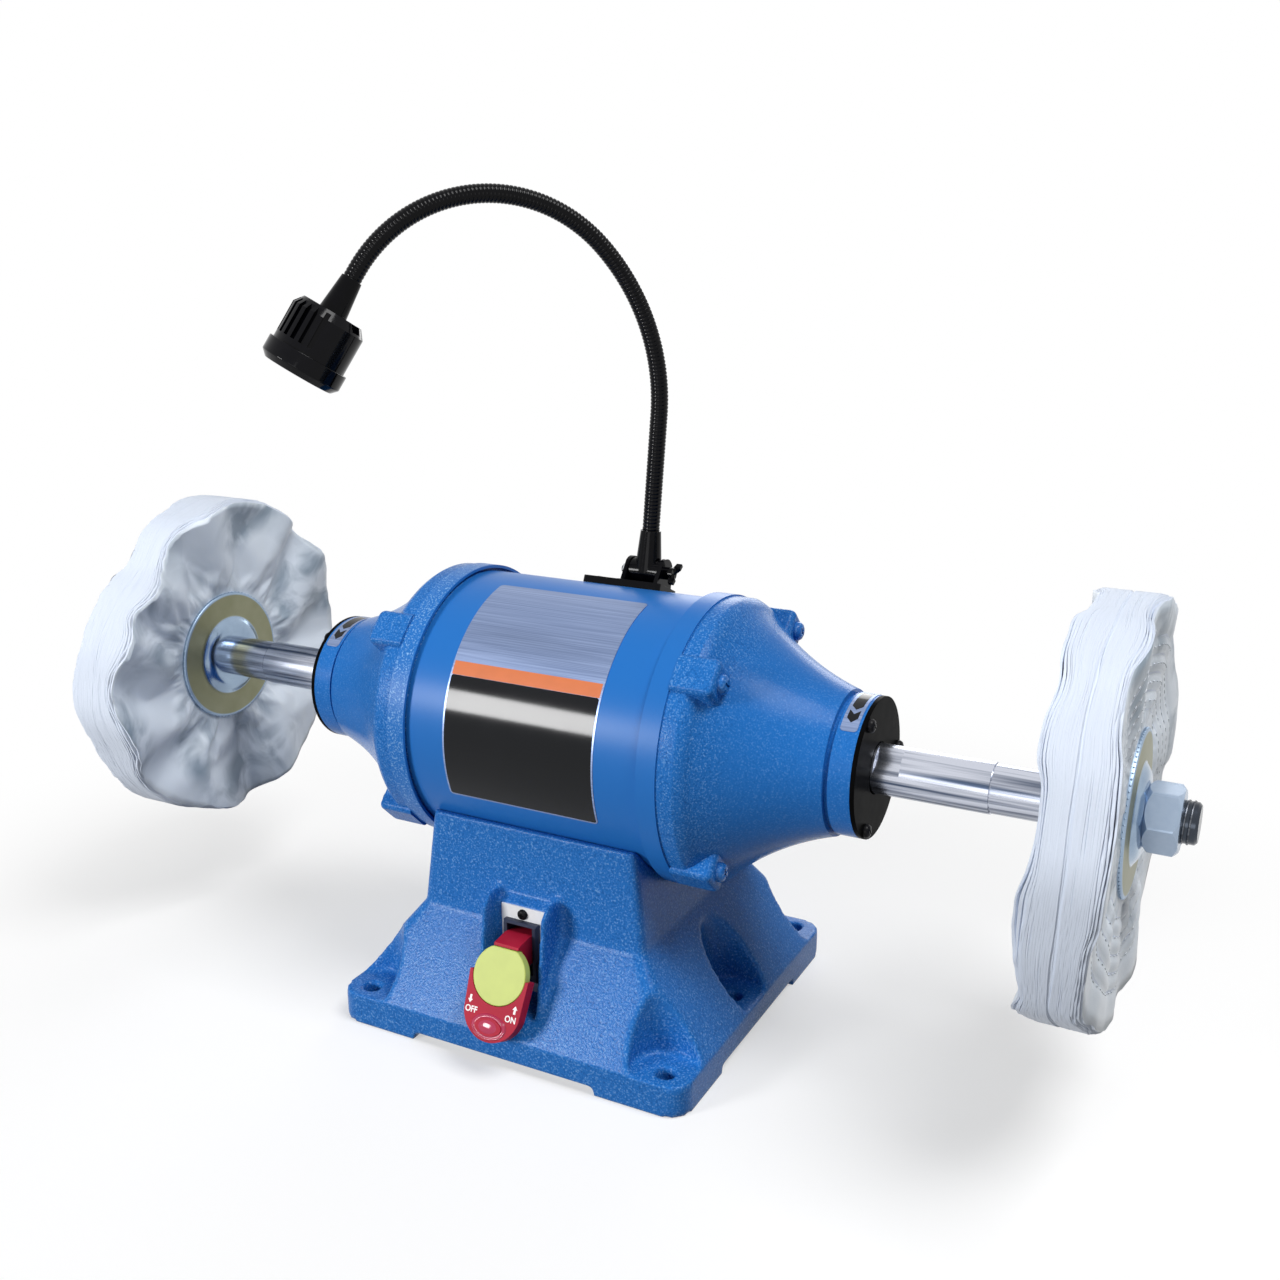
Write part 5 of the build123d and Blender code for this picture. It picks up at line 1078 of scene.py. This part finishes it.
def loop_mesh(name, rings, values):
    """Join closed sections round the wheel to one mesh, with an attribute for each of the values."""
    verts, faces = [], []
    for ring in rings:
        index = len(verts) + np.arange(ring[..., 0].size).reshape(ring.shape[:2])
        below = np.roll(index, -1, axis=1)
        quads = np.stack([index, below, np.roll(below, -1, axis=0), np.roll(index, -1, axis=0)], axis=-1)
        faces.extend(quads.reshape(-1, 4).tolist())
        verts.extend(ring.reshape(-1, 3).tolist())
    loose = bpy.data.meshes.new(name + "_loose")
    loose.from_pydata(verts, [], faces)
    bm = bmesh.new()
    bm.from_mesh(loose)
    bpy.data.meshes.remove(loose)
    bmesh.ops.recalc_face_normals(bm, faces=bm.faces)
    mesh = mesh_of(name, bm)
    for key, (kind, field, data) in values.items():
        attribute = mesh.attributes.new(key, kind, "POINT")
        attribute.data.foreach_set(field, np.concatenate(data).astype(np.float32).ravel())
    return mesh


class BUFFER_OT_wheels(bpy.types.Operator):
    """Cotton wheels: two packs of plies each, with ragged rims, folded inner faces and sewn outer faces"""

    bl_idname = "buffer.wheels"
    bl_label = "Wheels"

    seed: IntProperty(name="Seed", description="Picks how the cloth lies", default=11)
    steps: IntProperty(name="Steps", description="Sections round a wheel", default=360, min=24)

    def execute(self, context):
        sizes = context.scene.buffer_sizes
        material = cotton(context.scene.buffer_colours)
        sewing = self.stitch_tree()
        thread = moulded("waxed_cotton_thread", linear("#DCE2EA"), 0.8)
        stitch = helper("stitch", self.stitch_mesh())
        angle = np.linspace(0, math.tau, self.steps, endpoint=False)
        for number, (name, side) in enumerate(SIDES.items()):
            seed = self.seed + 10 * number
            wheel = Wheel(name, angle, sizes, seed)
            for way, place in ((-1, "inner"), (1, "outer")):
                label = f"buff_pack_{name}_{place}"
                mesh = self.pack(wheel, way, label + "_plies", seed + way)
                pack = new_piece(label + "_plies", mesh, [material], "spindle", [label])
            rows = node_shape(
                "sewing", sewing, Face=pack, Stitch=stitch, Pitch=sizes.stitch, Start=SEWN_FROM * MM,
                End=SEWN_TO * MM, Turns=SEWN_TURNS, Place=side * (WHEEL_MIDDLE + SEWN_STAND) * MM,
                Way=-float(side), Material=thread,
            )
            new_piece(f"sewing_{name}", rows, body="spindle")
        bpy.data.objects.remove(stitch)
        return {"FINISHED"}

    def pack(self, wheel, way, name, seed):
        """All the plies of one pack: rings at the rim, and a whole disc on the face."""
        form, sizes, angle = wheel.form, wheel.sizes, wheel.angle
        count = sizes.plies
        ragged = sizes.ragged / MM
        loose = way < 0
        height = sizes.fold / MM * (form["slack"] if loose else SEWN_SLACK)
        folds = wheel.hang(seed, height, LOOSE_FULLNESS if loose else SEWN_FULLNESS)
        wiggles = [ripples(np.random.default_rng(seed * 97 + i), angle, 4, 15, 6) for i in range(count + 1)]
        rings, plies, faces, polar = [], [], [], []
        for i in range(count):
            rng = np.random.default_rng(seed * 131 + i + 17)
            share = (i + 0.5) / count
            outside = i == count - 1
            near_face = max(0.0, (share - (1 - FACE_SHARE)) / FACE_SHARE)
            split = np.clip(ripples(rng, angle, 2, 9, 5) - 0.4, 0, 1) * SPLIT_DEPTH * rng.uniform() ** 2
            drop = near_face ** 2 * FACE_TAPER + (form["seam"] if i == 0 else 0.0) + wheel.flat
            rag = ripples(rng, angle, 14, 60, 10)
            frayed = form["uneven"] * wheel.scallop + (0.05 + 0.35 * near_face) * rag
            edge = wheel.radius - drop + ragged * frayed
            curl = LOOSE_CURL if loose else SEWN_CURL
            curl = curl * near_face ** 2 * (1 + 0.7 * ripples(rng, angle, 3, 8, 4))
            # A section runs out on one side of the ply, over its lips at the edge, and back on the other
            inner = np.linspace(HUB_R, FACE_R, FACE_RINGS) if outside else PLY_RINGS
            inner = [np.minimum(r, edge - EDGE_INSET) for r in inner]
            lips = ((0.005, split), (0.1, 0.2 * split), (0.5, 0.0), (0.9, 0.2 * split), (0.995, split))
            section = [(radii, 0.005) for radii in inner]
            section += [(edge - depth, level) for level, depth in lips]
            section += [(radii, 0.995) for radii in reversed(inner)]
            columns, parts, shown, round_about = [], [], [], []
            for radii, level in section:
                grow = wheel.grow(radii)
                part = (i + level) / count
                face = outside and level > 0.99
                wiggle = (1 - level) * wiggles[i] + level * wiggles[i + 1]
                across = part * (wheel.swell(grow) + wheel.read(folds, grow))
                across = across + 0.3 * PACK_RIM / count * grow ** 2 * wiggle + curl * grow ** 5
                across = way * across + (1 - part) * wheel.middle(grow) - wheel.lean * grow ** 2
                if face and not loose:
                    across = across - way * self.channel(radii)
                x = wheel.side * (WHEEL_MIDDLE + across) * MM
                y = -radii * np.sin(angle) * MM
                z = SHAFT_Z + radii * np.cos(angle) * MM
                columns.append(np.stack([x, y, z], axis=-1))
                parts.append(part * PACK_RIM)
                shown.append(float(face))
                round_about.append(np.stack([np.cos(angle), np.sin(angle), radii / STREAK_R], axis=-1))
            rings.append(np.stack(columns, axis=1))
            plies.append(np.tile(parts, self.steps))
            faces.append(np.tile(shown, self.steps))
            polar.append(np.stack(round_about, axis=1).reshape(-1, 3))
        values = {
            "ply": ("FLOAT", "value", plies),
            "face": ("FLOAT", "value", faces),
            "polar": ("FLOAT_VECTOR", "vector", polar),
        }
        return loop_mesh(name, rings, values)

    @staticmethod
    def channel(radii):
        """Shallow groove that the sewing pulls into the cloth."""
        rows = [SEWN_FROM + CHANNEL_PITCH * i for i in range(5)]
        return sum(CHANNEL_DEPTH * np.exp(-((radii - row) / CHANNEL_HALF) ** 2) for row in rows)

    @staticmethod
    def stitch_mesh():
        """One stitch along Z: a short spindle of thread."""
        bm = bmesh.new()
        size = Matrix.Diagonal((0.45, 0.45, 2.2, 1.0))
        bmesh.ops.create_uvsphere(bm, u_segments=6, v_segments=4, radius=MM, matrix=size)
        return mesh_of("stitch", bm)

    @staticmethod
    def stitch_tree():
        """Stitches along a spiral laid on a wheel's face. One with no cloth under it is left out."""
        tree, node, given = geometry_tree(
            "spiral_sewing", Face="Object", Stitch="Object", Pitch="Float", Start="Float", End="Float",
            Turns="Float", Place="Float", Way="Float", Material="Material",
        )
        spiral = node(
            "CurveSpiral", Resolution=64, Rotations=given["Turns"], Start_Radius=given["Start"],
            End_Radius=given["End"], Height=0.0,
        )
        laid = round_spindle(node, spiral, given["Place"])
        points = node("CurveToPoints", Curve=laid, Length=given["Pitch"], mode="LENGTH")
        face = node("ObjectInfo", Object=given["Face"], take="Geometry")
        stitch = node("ObjectInfo", Object=given["Stitch"], take="Geometry")
        hit = node(
            "Raycast", Target_Geometry=face, Source_Position=node("InputPosition"),
            Ray_Direction=node("CombineXYZ", X=given["Way"]), Ray_Length=0.2, take="Is_Hit",
        )
        kept = node("DeleteGeometry", Geometry=points, Selection=node("BooleanMath", hit, operation="NOT"))
        seated = node("SetPosition", Geometry=kept, Position=hit.node.outputs["Hit Position"])
        along = points.node.outputs["Rotation"]
        sewn = node("InstanceOnPoints", Points=seated, Instance=stitch, Rotation=along)
        return end_tree(tree, sewn, given)


# Switch
def on_paddle(x, up, out):
    """Point on the paddle's own axes, in metres from millimetres about the key's centre."""
    lean = math.radians(PADDLE_TILT)
    y = KEY_CENTRE[1] + up * math.sin(lean) - out * math.cos(lean)
    z = KEY_CENTRE[2] + up * math.cos(lean) + out * math.sin(lean)
    return Vector(((KEY_CENTRE[0] + x) * MM, y * MM, z * MM))


class BUFFER_OT_switch(bpy.types.Operator):
    """Paddle with its marks and thumb pad, lockout key, bezel and plate"""

    bl_idname = "buffer.switch"
    bl_label = "Switch"

    def execute(self, context):
        colours = context.scene.buffer_colours
        red = moulded("red_polycarbonate", colours.paddle, 0.38, shine=0.06)
        yellow = moulded("yellow_nylon", colours.key, 0.42, shine=0.3)
        rounded("switch_paddle", 0.9, red, "switch_paddle", 3)
        rounded("lockout_key", 0.7, yellow, "lockout_key", 3)
        rounded("switch_body", 0.5, moulded("dark_grey_nylon", linear("#30364A"), 0.45, shine=0.2), "frame")
        rounded("switch_plate", 0.35, moulded("white_painted_steel", linear("#F6F7F9"), 0.35), "frame")
        self.marks()
        self.thumb_pad()
        return {"FINISHED"}

    def marks(self):
        """ON and OFF with their arrows, printed on the paddle's face."""
        ink = moulded("white_pad_print", linear("#EFEDED"), 0.4)
        bm = bmesh.new()
        for text, x, up in MARK_WORDS:
            curve = bpy.data.curves.new("mark", "FONT")
            curve.body = text
            curve.size = WORD_SIZE
            curve.offset = WORD_BOLD
            curve.align_x = "CENTER"
            curve.extrude = WORD_DEPTH
            mesh = settled("mark", helper("mark", curve))
            for vert in mesh.vertices:
                vert.co = on_paddle(x + vert.co.x * WORD_WIDTH, up + vert.co.y, vert.co.z + WORD_LIFT)
            bm.from_mesh(mesh)
        for x, up, way in MARK_ARROWS:
            outline = [(x + a * way, up + b * way) for a, b in MARK_ARROW]
            low = [bm.verts.new(on_paddle(*point, 0.0)) for point in outline]
            high = [bm.verts.new(on_paddle(*point, MARK_HEIGHT)) for point in outline]
            bm.faces.new(high)
            bm.faces.new(low[::-1])
            skin(bm, [high, low])
        new_piece("paddle_marks", mesh_of("paddle_marks", bm, 30.0), [ink], "switch_paddle")

    def thumb_pad(self):
        """Glossy oval pad near the paddle's foot, with a raised lip round it."""
        gloss = moulded("polished_red_pad", linear("#B8385A"), 0.14, 0.45, 0.1)
        around = 48
        turns = [math.tau * j / around for j in range(around)]
        wide, high = PAD_HALF
        bm = bmesh.new()
        crown = bm.verts.new(on_paddle(0.0, -PAD_DROP, PAD_PROFILE[0][1]))
        rows = []
        for share, rise in PAD_PROFILE[1:]:
            across, up = wide * share, high * share
            oval = [(across * math.cos(turn), up * math.sin(turn) - PAD_DROP) for turn in turns]
            rows.append([bm.verts.new(on_paddle(*point, rise)) for point in oval])
        for near, far in zip(rows[0], rows[0][1:] + rows[0][:1]):
            bm.faces.new((crown, near, far))
        skin(bm, rows)
        bm.faces.new(rows[-1][::-1])
        new_piece("thumb_pad", mesh_of("thumb_pad", bm, 50.0), [gloss], "switch_paddle")


# Lamp
def neck_points():
    """Corner stations of the gooseneck's route: (away, height, heading) at each end of its runs and arcs."""
    heading = math.radians(90 + NECK_LEAN)
    away, height = NECK_START * math.cos(heading), NECK_START * math.sin(heading)
    stations = [(away, height, heading)]
    away += NECK_STRAIGHT * math.cos(heading)
    height += NECK_STRAIGHT * math.sin(heading)
    stations.append((away, height, heading))
    for radius, turn in NECK_ARCS:
        swing = math.radians(turn) / 2
        for _ in range(2):
            away += radius * (math.sin(heading) - math.sin(heading - swing))
            height += radius * (math.cos(heading - swing) - math.cos(heading))
            heading -= swing
            stations.append((away, height, heading))
    away += NECK_RUN_OUT * math.cos(heading)
    height += NECK_RUN_OUT * math.sin(heading)
    return stations + [(away, height, heading)]


def in_neck_plane(away, height):
    """Point of the gooseneck's upright plane, in metres, from the lamp's pivot."""
    pivot = Vector(JOINTS["lamp_tilt"]["pos_m"])
    turn = math.radians(NECK_HEADING)
    return pivot + Vector((away * math.cos(turn), away * math.sin(turn), height)) * MM


class BUFFER_OT_lamp(bpy.types.Operator):
    """Bracket, wing screw, ribbed gooseneck and lamp head"""

    bl_idname = "buffer.lamp"
    bl_label = "Lamp"

    def execute(self, context):
        plastic = black_gloss("black_moulded_nylon", "#030306", 0.1, 5.0)
        head = black_gloss("black_moulded_lamp_shell", "#030308", 0.1, 7.0, shine=0.13)
        rounded("lamp_bracket", 0.9, plastic, "frame", 3)
        rounded("wing_screw", 0.6, plastic, "wing_screw")
        rounded("lamp_knuckle", 0.5, plastic, "lamp_arm")
        rounded("lamp_ferrule", 0.5, plastic, "lamp_head")
        rounded("lamp_housing", 0.5, head, "lamp_head")
        rounded("lamp_bezel", 0.7, head, "lamp_head")
        rounded("cord_gland", 0.5, plastic, "frame")
        dress(lens_glass(), "lamp_lens")
        dress(moulded("white_solder_mask", linear("#E6E9EA"), 0.4), "lamp_board")
        path = helper("neck_path", self.route())
        mesh = node_shape(
            "gooseneck_ribbed", self.rib_tree(), Path=path, Ribs=context.scene.buffer_sizes.ribs,
            Crest=NECK_CREST_R * MM, Valley=NECK_VALLEY_R * MM,
            Material=black_gloss("black_coated_gooseneck", "#030306", 0.11, 12.0, 0.05, 0.12),
        )
        bpy.data.objects.remove(path)
        made = new_piece("gooseneck_ribbed", mesh, replaces=["gooseneck"])
        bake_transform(made)
        return {"FINISHED"}

    @staticmethod
    def route():
        """The gooseneck's centre line as one smooth curve."""
        stations = neck_points()
        curve = bpy.data.curves.new("neck_path", "CURVE")
        curve.dimensions = "3D"
        curve.resolution_u = 48
        spline = curve.splines.new("BEZIER")
        spline.bezier_points.add(len(stations) - 1)
        arms = []
        for near, far in zip(stations, stations[1:]):
            run, bend = math.dist(near[:2], far[:2]), abs(far[2] - near[2])
            straight = bend < 1e-6
            arms.append(run / 3 if straight else 2 / 3 * math.tan(bend / 4) * run / math.sin(bend / 2))
        ways = zip(spline.bezier_points, stations, arms[:1] + arms, arms + arms[-1:])
        for point, (away, height, heading), back, ahead in ways:
            point.handle_left_type = point.handle_right_type = "FREE"
            point.co = in_neck_plane(away, height)
            step = (math.cos(heading), math.sin(heading))
            point.handle_left = in_neck_plane(away - back * step[0], height - back * step[1])
            point.handle_right = in_neck_plane(away + ahead * step[0], height + ahead * step[1])
        return curve

    @staticmethod
    def rib_tree():
        """Ribbed hose along a path: the radius swings between valley and crest."""
        tree, node, given = geometry_tree(
            "gooseneck_ribs", Path="Object", Ribs="Int", Crest="Float", Valley="Float", Material="Material",
        )
        steps_in_rib = 8
        path = node("ObjectInfo", Object=given["Path"], take="Geometry")
        count = node("Math", given["Ribs"], steps_in_rib, 1.0, operation="MULTIPLY_ADD")
        line = node("ResampleCurve", Curve=path, Count=count)
        phase = node("Math", node("SplineParameter"), given["Ribs"], operation="MULTIPLY")
        phase = node("Math", phase, math.pi, operation="MULTIPLY")
        wave = node("Math", node("Math", phase, operation="SINE"), operation="ABSOLUTE")
        round_top = node("Math", wave, 0.6, operation="POWER")
        radius = node("MapRange", Value=round_top, To_Min=given["Valley"], To_Max=given["Crest"])
        circle = node("CurvePrimitiveCircle", Resolution=20, Radius=1.0)
        hose = node("CurveToMesh", Curve=line, Profile_Curve=circle, Scale=radius, Fill_Caps=True)
        return end_tree(tree, hose, given)


OPERATORS = (
    BUFFER_OT_stage,
    BUFFER_OT_castings,
    BUFFER_OT_motor,
    BUFFER_OT_plates,
    BUFFER_OT_screws,
    BUFFER_OT_spindle,
    BUFFER_OT_wheels,
    BUFFER_OT_switch,
    BUFFER_OT_lamp,
)


class BUFFER_PT_panel(bpy.types.Panel):
    """Lists what builds the buffer's looks"""

    bl_idname = "BUFFER_PT_panel"
    bl_label = "Bench Buffer"
    bl_space_type = "VIEW_3D"
    bl_region_type = "UI"
    bl_category = "Buffer"

    def draw(self, context):
        for group in (context.scene.buffer_sizes, context.scene.buffer_colours):
            for name in group.bl_rna.properties.keys():
                if name not in ("rna_type", "name"):
                    self.layout.prop(group, name)
        for operator in OPERATORS:
            self.layout.operator(operator.bl_idname)


CLASSES = (BufferSizes, BufferColours, *OPERATORS, BUFFER_PT_panel)


def register():
    for item in CLASSES:
        bpy.utils.register_class(item)
    bpy.types.Scene.buffer_sizes = PointerProperty(type=BufferSizes)
    bpy.types.Scene.buffer_colours = PointerProperty(type=BufferColours)


def unregister():
    del bpy.types.Scene.buffer_colours
    del bpy.types.Scene.buffer_sizes
    for item in reversed(CLASSES):
        bpy.utils.unregister_class(item)


def main():
    register()
    bpy.ops.buffer.stage()
    bpy.ops.buffer.castings()
    bpy.ops.buffer.motor()
    bpy.ops.buffer.plates()
    bpy.ops.buffer.screws()
    bpy.ops.buffer.spindle()
    bpy.ops.buffer.wheels()
    bpy.ops.buffer.switch()
    bpy.ops.buffer.lamp()


if __name__ == "__main__":
    main()
